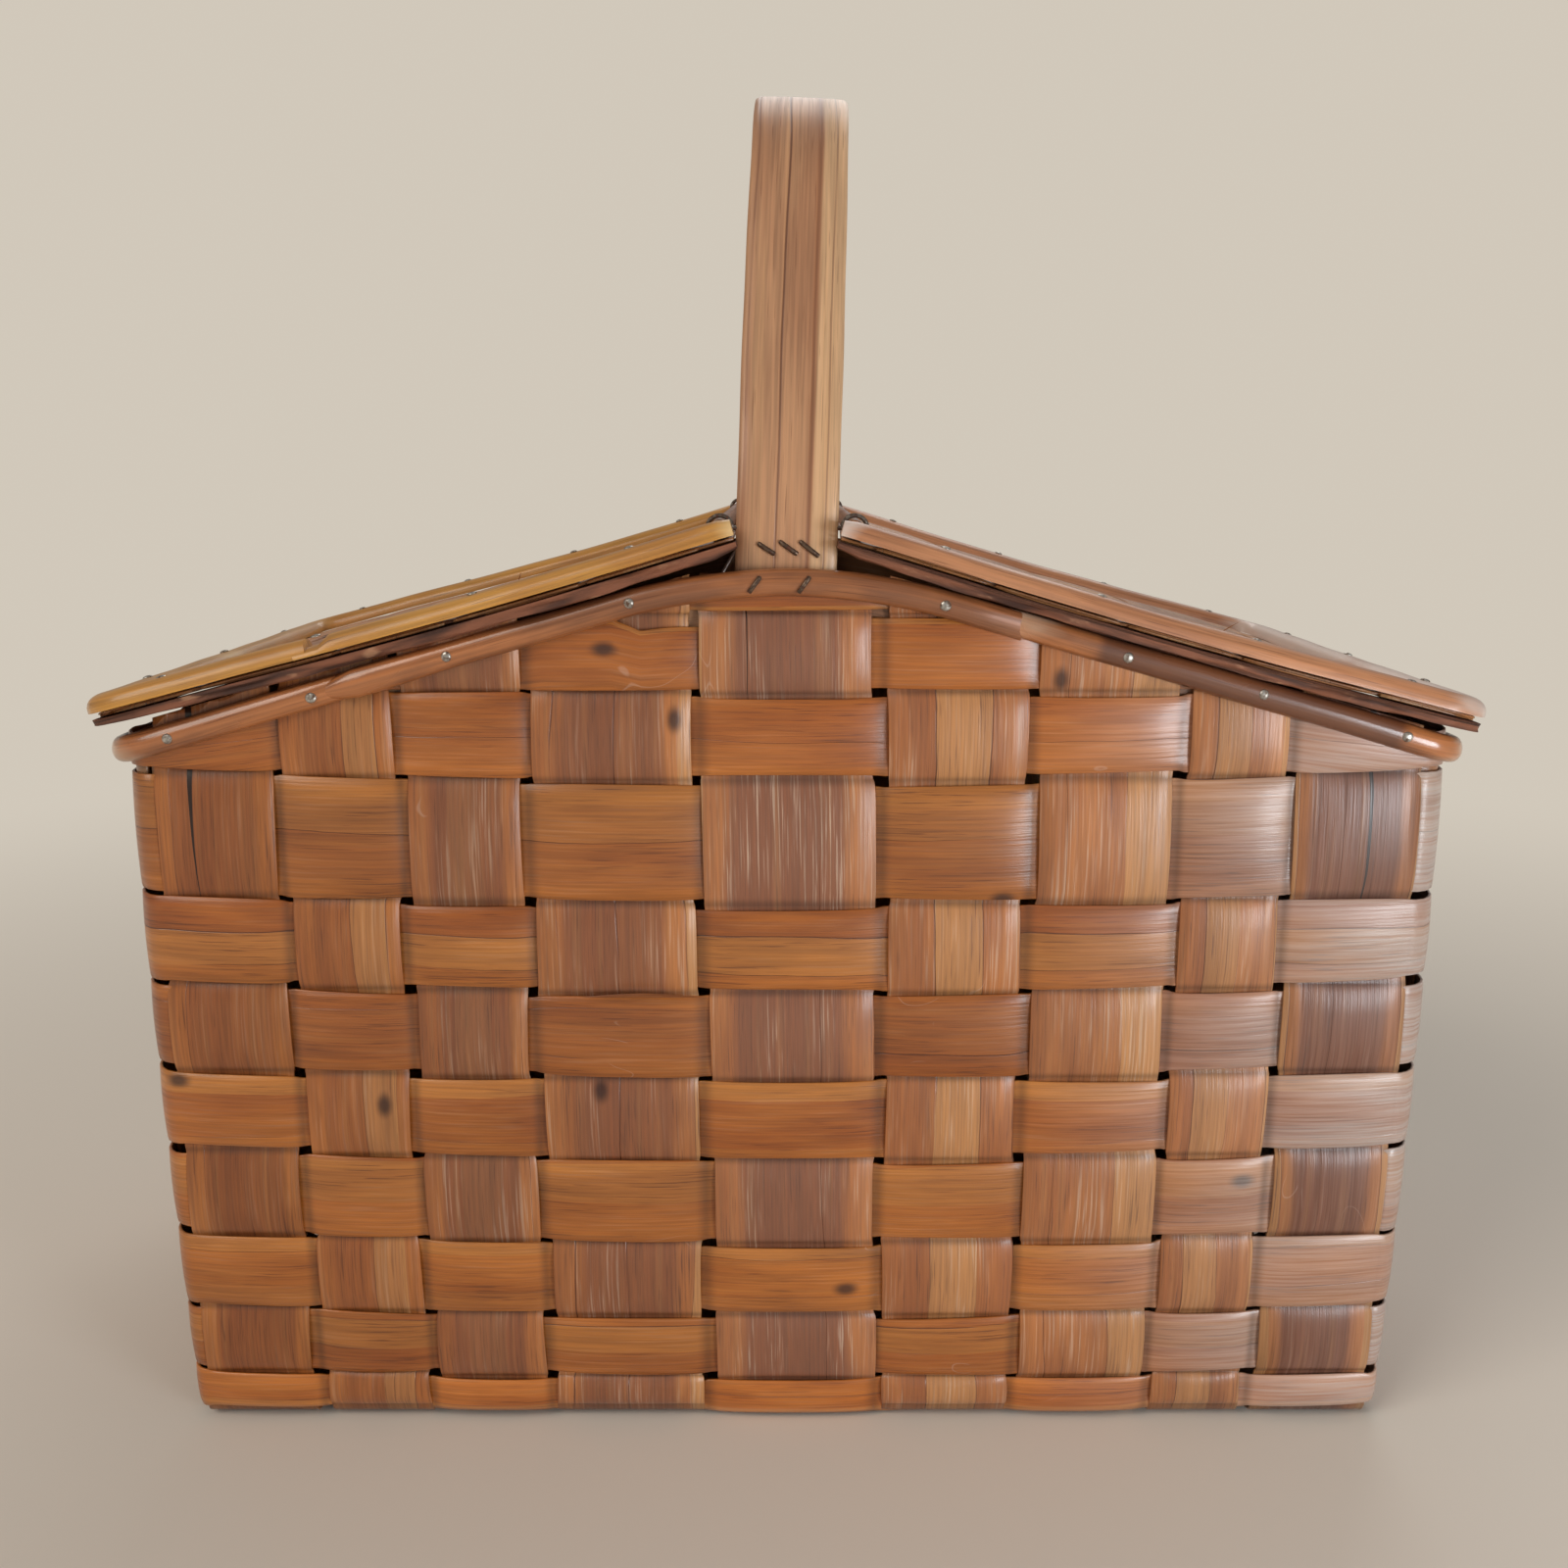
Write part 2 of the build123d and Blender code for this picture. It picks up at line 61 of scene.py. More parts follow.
# Light: a large soft window high on the left and in front, a paler one on the right that gives the
# varnish its shine at that end, and a faint one behind.
def lamp(name, place, aim, size, power, tint):
    """A square soft light."""
    data = bpy.data.lights.new(name, "AREA")
    data.size = size
    data.energy = power
    data.color = tint
    light = bpy.data.objects.new(name, data)
    bpy.context.scene.collection.objects.link(light)
    light.location = place
    light.rotation_euler = (Vector(aim) - Vector(place)).to_track_quat("-Z", "Y").to_euler()


lamp("window_left", (-1.5, -1.5, 1.7), (0, 0, 0.15), 1.4, 25, (1.0, 0.93, 0.84))
lamp("window_right", (0.70, -0.88, 0.2), (0.2, 0, 0.17), 0.36, 5.6, (0.88, 0.94, 1.0))
lamp("sky_behind", (0.4, 1.8, 1.9), (0, 0, 0.2), 1.6, 16, (1.0, 0.98, 0.96))


# Ground and background: a plain pale board that keeps the basket's shadow and fades into an equal
# background. Only the camera, mirrors and glass see that flat colour.
def srgb(red, green, blue):
    """A colour as a screen shows it, 0 to 255, for a shader."""
    return tuple((part / 255) ** 2.2 for part in (red, green, blue)) + (1.0,)


def fill(made, inputs):
    """Give inputs of a shader node their value, or the link that feeds them."""
    for name, value in inputs.items():
        if isinstance(value, bpy.types.NodeSocket):
            tree.links.new(value, made.inputs[name])
        else:
            made.inputs[name].default_value = value


def node(kind, inputs=(), **settings):
    """Add a shader node to the tree in hand."""
    made = tree.nodes.new("ShaderNode" + kind)
    for name, value in settings.items():
        setattr(made, name, value)
    fill(made, dict(inputs))
    return made


def calc(operation, *values):
    """One sum on numbers."""
    return node("Math", dict(enumerate(values)), operation=operation).outputs[0]


def fade(value, start, end, low=0.0, high=1.0):
    """A smooth step from low to high as value goes from start to end."""
    inputs = {"Value": value, 1: start, 2: end, 3: low, 4: high}
    return node("MapRange", inputs, interpolation_type="SMOOTHSTEP").outputs[0]


def painted(name):
    """A new material and its main shader. Its tree is the one in hand from now on."""
    global tree
    material = bpy.data.materials.new(name)
    material.use_nodes = True
    tree = material.node_tree
    return material, tree.nodes["Principled BSDF"]


def seen_as(share, real, flat, output):
    """Show a flat colour in place of the real surface, by share."""
    either = node("MixShader", {0: share, 1: real.outputs[0], 2: flat.outputs[0]})
    tree.links.new(either.outputs[0], tree.nodes[output].inputs["Surface"])


BACKGROUND = srgb(208, 199, 185)
FLAT_FROM = 0.35  # metres from the basket
FLAT_TO = 1.2
bpy.ops.object.select_all(action="DESELECT")
bpy.ops.mesh.primitive_circle_add(vertices=64, radius=9, fill_type="NGON", location=(0, 0, -0.0003))
ground = bpy.context.object
ground.name = "ground"
bpy.ops.object.transform_apply(location=True, rotation=False, scale=False)
board, matt = painted("pale_board")
fill(matt, {"Base Color": srgb(222, 214, 203), "Roughness": 0.85})
from_centre = node("TexCoord").outputs["Object"]
distance = node("VectorMath", {0: from_centre}, operation="LENGTH").outputs["Value"]
ray = node("LightPath").outputs
seen = calc("MAXIMUM", ray["Is Camera Ray"], ray["Is Glossy Ray"])
seen = calc("MULTIPLY", fade(distance, FLAT_FROM, FLAT_TO), seen)
seen_as(seen, matt, node("Emission", {"Color": BACKGROUND}), "Material Output")
ground.data.materials.append(board)

world = bpy.data.worlds.new("room")
bpy.context.scene.world = world
world.use_nodes = True
tree = world.node_tree
room_light = tree.nodes["Background"]
fill(room_light, {"Color": srgb(238, 232, 224), "Strength": 0.33})
ray = node("LightPath").outputs
seen = calc("MAXIMUM", ray["Is Camera Ray"], ray["Is Transmission Ray"])
seen_as(seen, room_light, node("Background", {"Color": BACKGROUND}), "World Output")


# Cross stakes: nine wide splints of varnished wood, each one strip that runs down the front wall,
# under the floor and up the back wall. They are split from the log, so that most show a brown
# middle between paler edges, with open cracks along the grain.
SPLINT = 1.0 * MM
ROW_GAP = 2.5 * MM
FLOOR_MIDDLE = 1.25 * MM
BEND = 4.2 * MM  # radius of a stake's turn from wall to floor
BEND_ANGLES = [math.radians(angle) for angle in (12, 35, 60, 80)]
OVER = 2.4 * MM  # how far a splint arches out over the one that it crosses
UNDER = 1.0 * MM
FLOOR_OVER = 0.75 * MM  # the floor's splints lie flat on the ground
CUP = 0.5  # how much lower than its middle a splint's edges lie where it arches
DISH = 0.15  # the same where it goes under
SAG = 3.2 * MM  # how much lower the rows hang in the middle of the long walls
ACROSS = 8  # faces across a splint
ARCH_STEPS = (0.99, 0.96, 0.9, 0.8, 0.62, 0.33)  # places from an arch's foot to its top
DARK_LINE = srgb(84, 44, 26)
SCUFFED = srgb(216, 190, 166)
WEATHERED = srgb(150, 132, 118)
TORN_OPEN = srgb(24, 12, 8)
KNOT = srgb(48, 28, 26)
SCRATCHED = srgb(226, 206, 190)
# Whitish colour of the painted sheen at the basket's right end, where the right window's reflection
# falls.
SHEEN_WHITE = srgb(180, 171, 165)


def times(value, factor, onto=0.0):
    """Multiply, and add."""
    return calc("MULTIPLY_ADD", value, factor, onto)


def off(value, spot):
    """How far a value is from a spot."""
    return calc("ABSOLUTE", calc("SUBTRACT", value, spot))


def mix(share, first, second, blend="MIX"):
    """Blend two colours."""
    inputs = {0: share, 6: first, 7: second}
    return node("Mix", inputs, data_type="RGBA", blend_type=blend).outputs[2]


def mark(name):
    """What a mesh says of itself at each point."""
    return node("Attribute", attribute_name=name).outputs["Vector"]


def parts(vector):
    """The three numbers of a vector."""
    return node("SeparateXYZ", {0: vector}).outputs


def stretched(vector, scale, detail=2.0):
    """A noise whose features are as fine as scale says, along each axis."""
    place = node("VectorMath", {0: vector, 1: scale}, operation="MULTIPLY").outputs[0]
    return node("TexNoise", {"Vector": place, "Scale": 1.0, "Detail": detail}).outputs[0]


def dress(shader, colour, relief, strength, depth, inputs):
    """Give a material its colour, its relief and its other inputs."""
    bump = node("Bump", {"Height": relief, "Strength": strength, "Distance": depth}).outputs[0]
    fill(shader, {"Base Color": colour, "Normal": bump, **inputs})
    return bump


def splint_wood(name, colours, streaks, bands, contrast=0.6, coat=0.6, painted_sheen=0.0):
    """Varnished split wood. Its colour runs in bands across the splint, with cracks between some.
    colours are its own, a warmer one, the brown heartwood's and the pale wood's. streaks is how
    strongly it is striped, and the last how strongly a whitish sheen is painted at the basket's
    right end, where the right window's reflection falls. The third part of look says how
    weathered a splint is."""
    wood, shader = painted(name)
    base, warm, heart, pale = [srgb(*colour) for colour in colours]
    grain = mark("grain")
    along, across = parts(grain)[:2]
    side, tone, near = parts(mark("strip"))
    hearty, light, grey = parts(mark("look"))
    split_at, split_width, split_length = parts(mark("opened"))
    fibre = stretched(grain, (32, 1300, 40), 4)
    drift = stretched(grain, (9, 34, 97), 2)
    dash = stretched(grain, (52, 2100, 61), 2)
    streak = stretched(grain, (7, 330, 53), 3)
    patch = stretched(grain, (18, 75, 71), 3)
    dry = stretched(grain, (36, 1500, 83), 4)

    # Bands of colour and heartwood, which wander a little as they run along the splint.
    wander = times(calc("SUBTRACT", drift, 0.5), 0.5)
    wander = times(calc("SUBTRACT", patch, 0.5), 0.14, wander)
    shifted = calc("ADD", side, wander)
    cells = {"W": times(side, bands, times(tone, 71.0, wander)), "Scale": 1.0}
    band = node("TexVoronoi", cells, voronoi_dimensions="1D")
    pick = parts(band.outputs["Color"])
    edge = node("TexVoronoi", cells, voronoi_dimensions="1D", feature="DISTANCE_TO_EDGE")
    core = fade(calc("ABSOLUTE", shifted), 0.78, 0.58)
    colour = mix(fade(times(pick[1], 0.3, patch), 0.3, 0.95), base, warm)
    colour = mix(times(fade(pick[0], 0.60, 0.70), contrast), colour, pale)
    colour = mix(times(core, hearty), colour, heart)
    colour = mix(fade(streak, 0.52, 0.72, 0.0, streaks), colour, pale)
    colour = mix(fade(streak, 0.48, 0.30, 0.0, streaks), colour, heart)
    colour = mix(1.0, colour, fade(fibre, 0.28, 0.70, 0.83, 1.12), "MULTIPLY")

    # Wear, dark dashes in the grain, each splint's own lightness, and weathering.
    worn = times(fade(dry, 0.52, 0.66), fade(patch, 0.42, 0.62))
    worn = times(worn, times(grey, 0.85, 0.06))
    colour = mix(worn, colour, SCUFFED)
    dashes = times(fade(dash, 0.42, 0.33), fade(patch, 0.58, 0.4))
    colour = mix(times(dashes, 0.6), colour, DARK_LINE)
    shade = times(drift, 0.5, times(patch, 0.36, calc("ADD", light, 0.58)))
    colour = mix(1.0, colour, shade, "MULTIPLY")
    colour = mix(times(grey, 0.4), colour, WEATHERED)

    # Cracks between bands, a split from the splint's end, knots and scratches.
    crack = times(fade(edge.outputs["Distance"], 0.018, 0.004), fade(streak, 0.60, 0.45))
    crack = times(crack, fade(pick[2], 0.40, 0.55))
    colour = mix(times(crack, 0.85), colour, DARK_LINE)
    gape = times(split_width, fade(calc("DIVIDE", along, split_length), 1.0, 0.0))
    gash = times(calc("LESS_THAN", off(shifted, split_at), gape), 0.95)
    colour = mix(gash, colour, TORN_OPEN)
    place = {"X": times(along, 24.0, times(tone, 71.0)), "Y": times(across, 40.0)}
    place = node("CombineXYZ", place).outputs[0]
    knots = node("TexVoronoi", {"Vector": place, "Scale": 1.0}, voronoi_dimensions="2D").outputs
    rare = fade(parts(knots["Color"])[0], 0.945, 0.955)
    knot = times(fade(knots["Distance"], 0.14, 0.03), rare)
    colour = mix(times(knot, 0.85), colour, KNOT)
    scratch = fade(off(stretched(grain, (26, 70, 59), 1), 0.5), 0.004, 0.001)
    rare = fade(stretched(grain, (31, 23, 29), 0), 0.71, 0.74, 0.0, 0.15)
    colour = mix(times(scratch, rare), colour, SCRATCHED)

    # Painted sheen at the basket's right end, where the right window's reflection falls, and painted
    # shade where a splint is tucked under another.
    x = parts(node("TexCoord").outputs["Object"])[0]
    sheen = times(fade(fibre, 0.25, 0.7, 0.45, 1.0), fade(drift, 0.3, 0.6, 0.5, 1.0))
    sheen = times(sheen, fade(x, 0.07, 0.205, 0.0, painted_sheen))
    colour = mix(sheen, colour, SHEEN_WHITE)
    colour = mix(1.0, colour, fade(near, 0.0, 0.4, 0.6, 1.0), "MULTIPLY")

    relief = times(streak, 0.9, times(fibre, 0.6, times(dash, 0.25)))
    relief = times(pick[2], 0.4, times(dry, 0.7, relief))
    relief = times(calc("ADD", crack, gash), -1.2, relief)
    rough = times(worn, 0.3, fade(fibre, 0.2, 0.8, 0.46, 0.34))
    varnish = {"Specular IOR Level": 0.4, "Coat Weight": coat, "Coat Roughness": 0.25}
    bump = dress(shader, colour, relief, 0.55, 0.00022, {"Roughness": rough, **varnish})
    fill(shader, {"Coat Normal": bump})
    return wood


# The stakes' wood, with a faint painted sheen at the basket's right end.
stake_wood = splint_wood(
    "stake_wood", ((154, 86, 40), (180, 112, 58), (124, 69, 42), (198, 142, 86)),
    streaks=0.16, bands=1.3, coat=0.35, painted_sheen=0.14,
)


def spans(name, numbers, axis):
    """From where to where each numbered piece of the frame reaches along an axis."""
    return [[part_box(f"{name}_{n}")[end][axis] for end in (0, 1)] for n in numbers]


rows = spans("weaver", range(1, 10), 2) + spans("gable_weaver_front", (10, 11), 2)
rows[8][1] = rows[9][0] - ROW_GAP
stakes = spans("cross_stake", range(1, 10), 0)
long_stakes = spans("long_stake", range(1, 6), 1)
FULL_ROWS = 9

reed_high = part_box("rim_reed_round")[1]
REED_BACK = 1.3 * MM  # from the middle of the wall to the back of the rim's reed
REED_T = 4.25 * MM
REED_H = 8.5 * MM
RIM_X = reed_high[0] - REED_T - REED_BACK
RIM_Y = reed_high[1] - REED_T - REED_BACK
BASE_X = RIM_X - 5.5 * MM
BASE_Y = RIM_Y - 9.2 * MM
BOW_X = 3.0 * MM  # how far the walls belly out half-way up
BOW_Y = 4.0 * MM
BELLY_FADE = 0.6
RIM_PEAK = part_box("rim_reed_front")[1][2] - REED_H / 2
RIM_R = 190 * MM
RIM_SLOPE = math.radians(16)
RIM_APEX = RIM_PEAK + RIM_R * (1 / math.cos(RIM_SLOPE) - 1)
CORNER_X = stakes[-1][1] + 0.2 * MM
CORNER_Y = long_stakes[-1][1] + 0.2 * MM


def rim_z(x):
    """Height of the middle of the rim at x."""
    if abs(x) < RIM_R * math.sin(RIM_SLOPE):
        return RIM_PEAK - RIM_R + math.sqrt(RIM_R**2 - x**2)
    return RIM_APEX - abs(x) * math.tan(RIM_SLOPE)


RIM_END = rim_z(RIM_X)


def wall(base, rim, bow, share_along, z):
    """Half the size of the woven body at height z, at a share of the wall's half length."""
    share = min(max(z, 0) / RIM_END, 1)
    belly = bow * 4 * share * (1 - share) * (1 - BELLY_FADE * share_along**2)
    return base + (rim - base) * share + belly


def wall_y(x, z):
    """Half depth of the woven wall."""
    return wall(BASE_Y, RIM_Y, BOW_Y, x / RIM_X, z)


def wall_x(y, z):
    """Half length of the woven wall."""
    return wall(BASE_X, RIM_X, BOW_X, y / RIM_Y, z)


def sag_at(x):
    """How much a row is raised at x, above its height in the middle of the wall."""
    return SAG * min(abs(x) / CORNER_X, 1) ** 2


def arch(start, end, before, after, sign, over, under):
    """A splint's way over or under one crossing, as (place, offset outwards, nearness to it)."""
    middle = (start + end) / 2
    way = []
    for u in [-step for step in ARCH_STEPS] + [0] + list(reversed(ARCH_STEPS)):
        place = middle + (middle - before) * u if u < 0 else middle + (after - middle) * u
        height = 1 - abs(u) ** 3.2
        way.append((place, (over if sign > 0 else -under) * height, height))
    return way


def crossings(spots, first_edge, last_edge, sign, over, under):
    """A splint's way over and under all spots in turn, from edge to edge. sign is for the first."""
    way = []
    for n, (start, end) in enumerate(spots):
        before = (spots[n - 1][1] + start) / 2 if n else first_edge
        after = (end + spots[n + 1][0]) / 2 if n < len(spots) - 1 else last_edge
        way += arch(start, end, before, after, sign * (-1) ** n, over, under)
    return way


def cupped(offset, v):
    """The offset of a bent splint at v, from -1 to 1 across it."""
    return offset * (1 - (CUP if offset > 0 else DISH) * v * v)


def ragged(seed, along):
    """A slow uneven wander between about -1 and 1, for hand-split edges."""
    return (
        0.5 * math.sin(along * 21 + seed * 1.7)
        + 0.3 * math.sin(along * 53 + seed * 3.1)
        + 0.2 * math.sin(along * 127 + seed * 5.3)
    )


def points_across(point, number, along, uneven, other_edge=5):
    """A row of points across a splint. point gives each from v, which is -1 to 1 across it, and
    from how far its uneven edges wander there."""
    row = []
    for j in range(ACROSS + 1):
        v = -1 + 2 * j / ACROSS
        wander = uneven * ragged(number + (other_edge if v > 0 else 0), along) * abs(v)
        row.append(point(v, wander))
    return row


def travelled(points):
    """How far along a line each of its points lies."""
    reach = [0.0]
    for last, here in zip(points, points[1:]):
        reach.append(reach[-1] + (Vector(here) - Vector(last)).length)
    return reach


def lay_sheet(name, length, across, wood, kinds, spot_at):
    """Bend a sheet of length by across faces. spot_at gives a point's place and its marks."""
    bpy.ops.object.select_all(action="DESELECT")
    bpy.ops.mesh.primitive_grid_add(x_subdivisions=length, y_subdivisions=across, size=1)
    sheet = bpy.context.object
    sheet.name = name
    mesh = sheet.data
    for kind in kinds:
        mesh.attributes.new(kind, "FLOAT_VECTOR", "POINT")
    marks = [mesh.attributes[kind].data for kind in kinds]
    for vertex in mesh.vertices:
        n = round((vertex.co.x + 0.5) * length)
        j = round((vertex.co.y + 0.5) * across)
        place, *values = spot_at(n, j)
        for told, value in zip(marks, values):
            told[vertex.index].vector = value
        vertex.co = place
    mesh.materials.append(wood)
    mesh.update()
    return sheet


def smooth_off(closing=False):
    """Turn the faces of the new piece outwards and shade it. closing shuts a rod's seam and ends."""
    bpy.ops.object.mode_set(mode="EDIT")
    bpy.ops.mesh.select_all(action="SELECT")
    if closing:
        bpy.ops.mesh.remove_doubles(threshold=0.000002)
        bpy.ops.mesh.fill_holes(sides=0)
        bpy.ops.mesh.select_all(action="SELECT")
    bpy.ops.mesh.normals_make_consistent(inside=False)
    bpy.ops.object.mode_set(mode="OBJECT")
    bpy.ops.object.shade_smooth_by_angle(angle=math.radians(50))


GRAIN_APART = 0.371  # sets each piece's grain apart from the last one's


def lay_splint(name, stations, number, wood, look, thickness=SPLINT, opened=(0, 0, 1)):
    """Bend a flat strip through stations, each a row of points across it, and give it thickness.
    opened is the place across, width and length of a split that starts at its first end."""
    reach = travelled([points[ACROSS // 2] for points, nearness in stations])
    tone = random.Random(number * 7 + 3).random()

    def spot_at(n, j):
        points, nearness = stations[n]
        v = -1 + 2 * j / ACROSS
        width = (Vector(points[-1]) - Vector(points[0])).length
        grain = (reach[n], v * width / 2, number * GRAIN_APART)
        return points[j], grain, (v, tone, nearness), look, opened

    kinds = ("grain", "strip", "look", "opened")
    strip = lay_sheet(name, len(stations) - 1, ACROSS, wood, kinds, spot_at)
    solid = strip.modifiers.new("thickness", "SOLIDIFY")
    solid.thickness = thickness
    solid.offset = 0
    bpy.ops.object.modifier_apply(modifier="thickness")
    edge = strip.modifiers.new("edge", "BEVEL")
    edge.width = thickness * 0.22
    edge.segments = 1
    edge.limit_method = "ANGLE"
    edge.angle_limit = math.radians(60)
    bpy.ops.object.modifier_apply(modifier="edge")
    smooth_off()
    return strip


def cut_top(strip, place, slope):
    """Cut a strip off square above a slanting line through place."""
    bpy.ops.object.select_all(action="DESELECT")
    bpy.context.view_layer.objects.active = strip
    strip.select_set(True)
    bpy.ops.object.mode_set(mode="EDIT")
    bpy.ops.mesh.select_all(action="SELECT")
    upwards = (math.sin(slope), 0, math.cos(slope))
    bpy.ops.mesh.bisect(plane_co=place, plane_no=upwards, clear_outer=True, use_fill=True)
    bpy.ops.object.mode_set(mode="OBJECT")


def u_stations(sign, walls, floor, wall_half, to_wall, to_floor, number):
    """Stations of a U-shaped stake: down one wall, round a bend, over the floor and up again."""
    rise = []
    for n, (low, high) in enumerate(walls):
        below = low - ROW_GAP / 2 if n else FLOOR_MIDDLE + BEND
        low = max(low, FLOOR_MIDDLE + BEND + ROW_GAP / 2)
        rise += arch(low, high, below, high + ROW_GAP / 2, sign * (-1) ** n, OVER, UNDER)
    floor_end = wall_half - BEND
    floor_way = crossings(floor, -floor_end, floor_end, -sign, FLOOR_OVER, OVER)
    way = [("wall", -1, *step) for step in reversed(rise)]
    way += [("bend", -1, angle, 0, 0) for angle in BEND_ANGLES]
    way += [("floor", 0, *step) for step in floor_way]
    way += [("bend", 1, angle, 0, 0) for angle in reversed(BEND_ANGLES)]
    way += [("wall", 1, *step) for step in rise]
    stations = []
    along = 0.0
    for kind, side, place, offset, near in way:
        along += 3.2 * MM

        def point(v, wander):
            if kind == "floor":
                return to_floor(place, v, wander, FLOOR_MIDDLE - offset)
            if kind == "wall":
                return to_wall(side, place, v, wander, cupped(offset, v))
            height = FLOOR_MIDDLE + BEND - BEND * math.sin(place)
            return to_wall(side, height, v, wander, -BEND + BEND * math.cos(place))

        stations.append((points_across(point, number, along, 1.0 * MM), near))
    return stations


LEANS = (-2.0, 0.5, 1.0, 1.5, 4.5, 1.0, 0.5, -0.5, 1.0)  # mm that each stake drifts right downwards
STUBS = (7.2, 7.4, 6.6, 3.6, 3.6, 3.6, 3.6, 4.4, 5.0)  # mm that each stands above the rim's middle
# How much brown heartwood each stake shows, how much lighter it is, and how weathered.
STAKE_LOOKS = (
    (0.60, -0.06, 0.05), (0.35, 0.02, 0.10), (0.80, 0.0, 0.25), (0.75, 0.04, 0.3), (0.95, 0.12, 0.5),
    (0.12, 0.06, 0.35), (0.05, -0.03, 0.35), (0.25, 0.0, 0.25), (1.0, -0.27, 0.05),
)
# Three stakes have split open from the rim: place across, width and length.
WHOLE = (0, 0, 1)
SPLITS = {0: (-0.35, 0.045, 82 * MM), 8: (0.18, 0.04, 105 * MM), 4: (-0.5, 0.012, 60 * MM)}

for k, (left, right) in enumerate(stakes):
    centre_x = (left + right) / 2
    half_w = (right - left) / 2
    lean = LEANS[k] * MM
    top = rim_z(centre_x) + 7 * MM
    raised = sag_at(centre_x)
    walls = [(low + raised * (n > 0), high + raised) for n, (low, high) in enumerate(rows)]
    walls = [span for span in walls if span[0] < top]

    def to_wall(side, z, v, wander, out):
        x = centre_x + v * half_w + wander + lean * (0.5 - z / RIM_PEAK) * (1 if z > 0.01 else 0.9)
        return (x, side * (wall_y(x, z) + out), z)

    def to_floor(y, v, wander, z):
        return (centre_x + v * half_w + wander + lean * 0.45, y, z)

    foot = wall_y(centre_x, FLOOR_MIDDLE + BEND)
    sign = -1 if k % 2 == 0 else 1
    stations = u_stations(sign, walls, long_stakes, foot, to_wall, to_floor, k + 1)
    name = f"cross_stake_{k + 1}"
    split = SPLITS.get(k, WHOLE)
    stake = lay_splint(
        f"{name}_splint", stations, k + 1, stake_wood, STAKE_LOOKS[k], opened=split
    )
    slope = 0 if abs(centre_x) < 20 * MM else math.copysign(RIM_SLOPE, centre_x)
    cut_top(stake, (centre_x, 0, rim_z(centre_x) + STUBS[k] * MM), slope)
    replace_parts(stake, name)
    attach(stake, "basket")


# Long stakes: five more splints like them, each down one end wall, along the floor and up the
# other end wall. On the floor they weave with the cross stakes.
for m, (near_y, far_y) in enumerate(long_stakes):
    centre_y = (near_y + far_y) / 2
    half_w = (far_y - near_y) / 2
    walls = [(low + SAG * (n > 0), high + SAG) for n, (low, high) in enumerate(rows[:FULL_ROWS])]
    walls[-1] = (walls[-1][0], RIM_END + 6 * MM)

    def to_wall(side, z, v, wander, out):
        y = centre_y + v * half_w + wander
        return (side * (wall_x(y, z) + out), y, z)

    def to_floor(x, v, wander, z):
        return (x, centre_y + v * half_w + wander, z)

    foot = wall_x(centre_y, FLOOR_MIDDLE + BEND)
    sign = -1 if m % 2 == 1 else 1
    stations = u_stations(sign, walls, stakes, foot, to_wall, to_floor, m + 21)
    look = (0.25 + 0.13 * m, 0.02 * m, 0.03)
    name = f"long_stake_{m + 1}"
    stake = lay_splint(f"{name}_splint", stations, m + 21, stake_wood, look)
    cut_top(stake, (0, 0, RIM_END + 3 * MM), 0)
    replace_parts(stake, name)
    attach(stake, "basket")


# Weavers: each full row is one splint bent to a ring, over and under all the uprights in turn. Its
# two ends lie over each other inside the back wall. The top edge of the ninth follows the rim.
CORNER_OUT = 0.8 * MM  # how far a row stands out from the wall's middle where it turns a corner
ROW_STEP = 3.4 * MM
LAP = 20  # stations where a weaver's two ends lie over each other


def row_point(side, place, z, out):
    """A point on a wall, at a place along it."""
    if side in ("front", "back"):
        return (place, (wall_y(place, z) + out) * (-1 if side == "front" else 1), z)
    return ((wall_x(place, z) + out) * (1 if side == "right" else -1), place, z)


def corner_point(sign_x, sign_y, angle, z, out):
    """A point on a rounded upright corner, angle 0 at the long wall and 90 degrees at the end."""
    x = CORNER_X + (wall_x(CORNER_Y, z) - CORNER_X + out) * math.sin(angle)
    y = CORNER_Y + (wall_y(CORNER_X, z) - CORNER_Y + out) * math.cos(angle)
    return (sign_x * x, sign_y * y, z)


def row_cells(spots, corner, first):
    """The crossings of a weaver along one wall. It goes over the first where first is even."""
    last_middle = (spots[-1][0] + spots[-1][1]) / 2
    way = []
    for place, offset, near in crossings(spots, -corner, corner, (-1) ** first, OVER, UNDER):
        past = (abs(place) - last_middle) / (corner - last_middle)
        if past > 0:
            near = max(near, 0.7)
            offset += CORNER_OUT * past**6
        way.append((place, offset, near))
    return way


# The weavers' wood, with a strong painted sheen at the basket's right end.
weaver_wood = splint_wood(
    "weaver_wood", ((148, 79, 32), (174, 104, 46), (122, 66, 38), (192, 130, 66)),
    streaks=0.10, bands=0.9, contrast=0.4, painted_sheen=0.85,
)
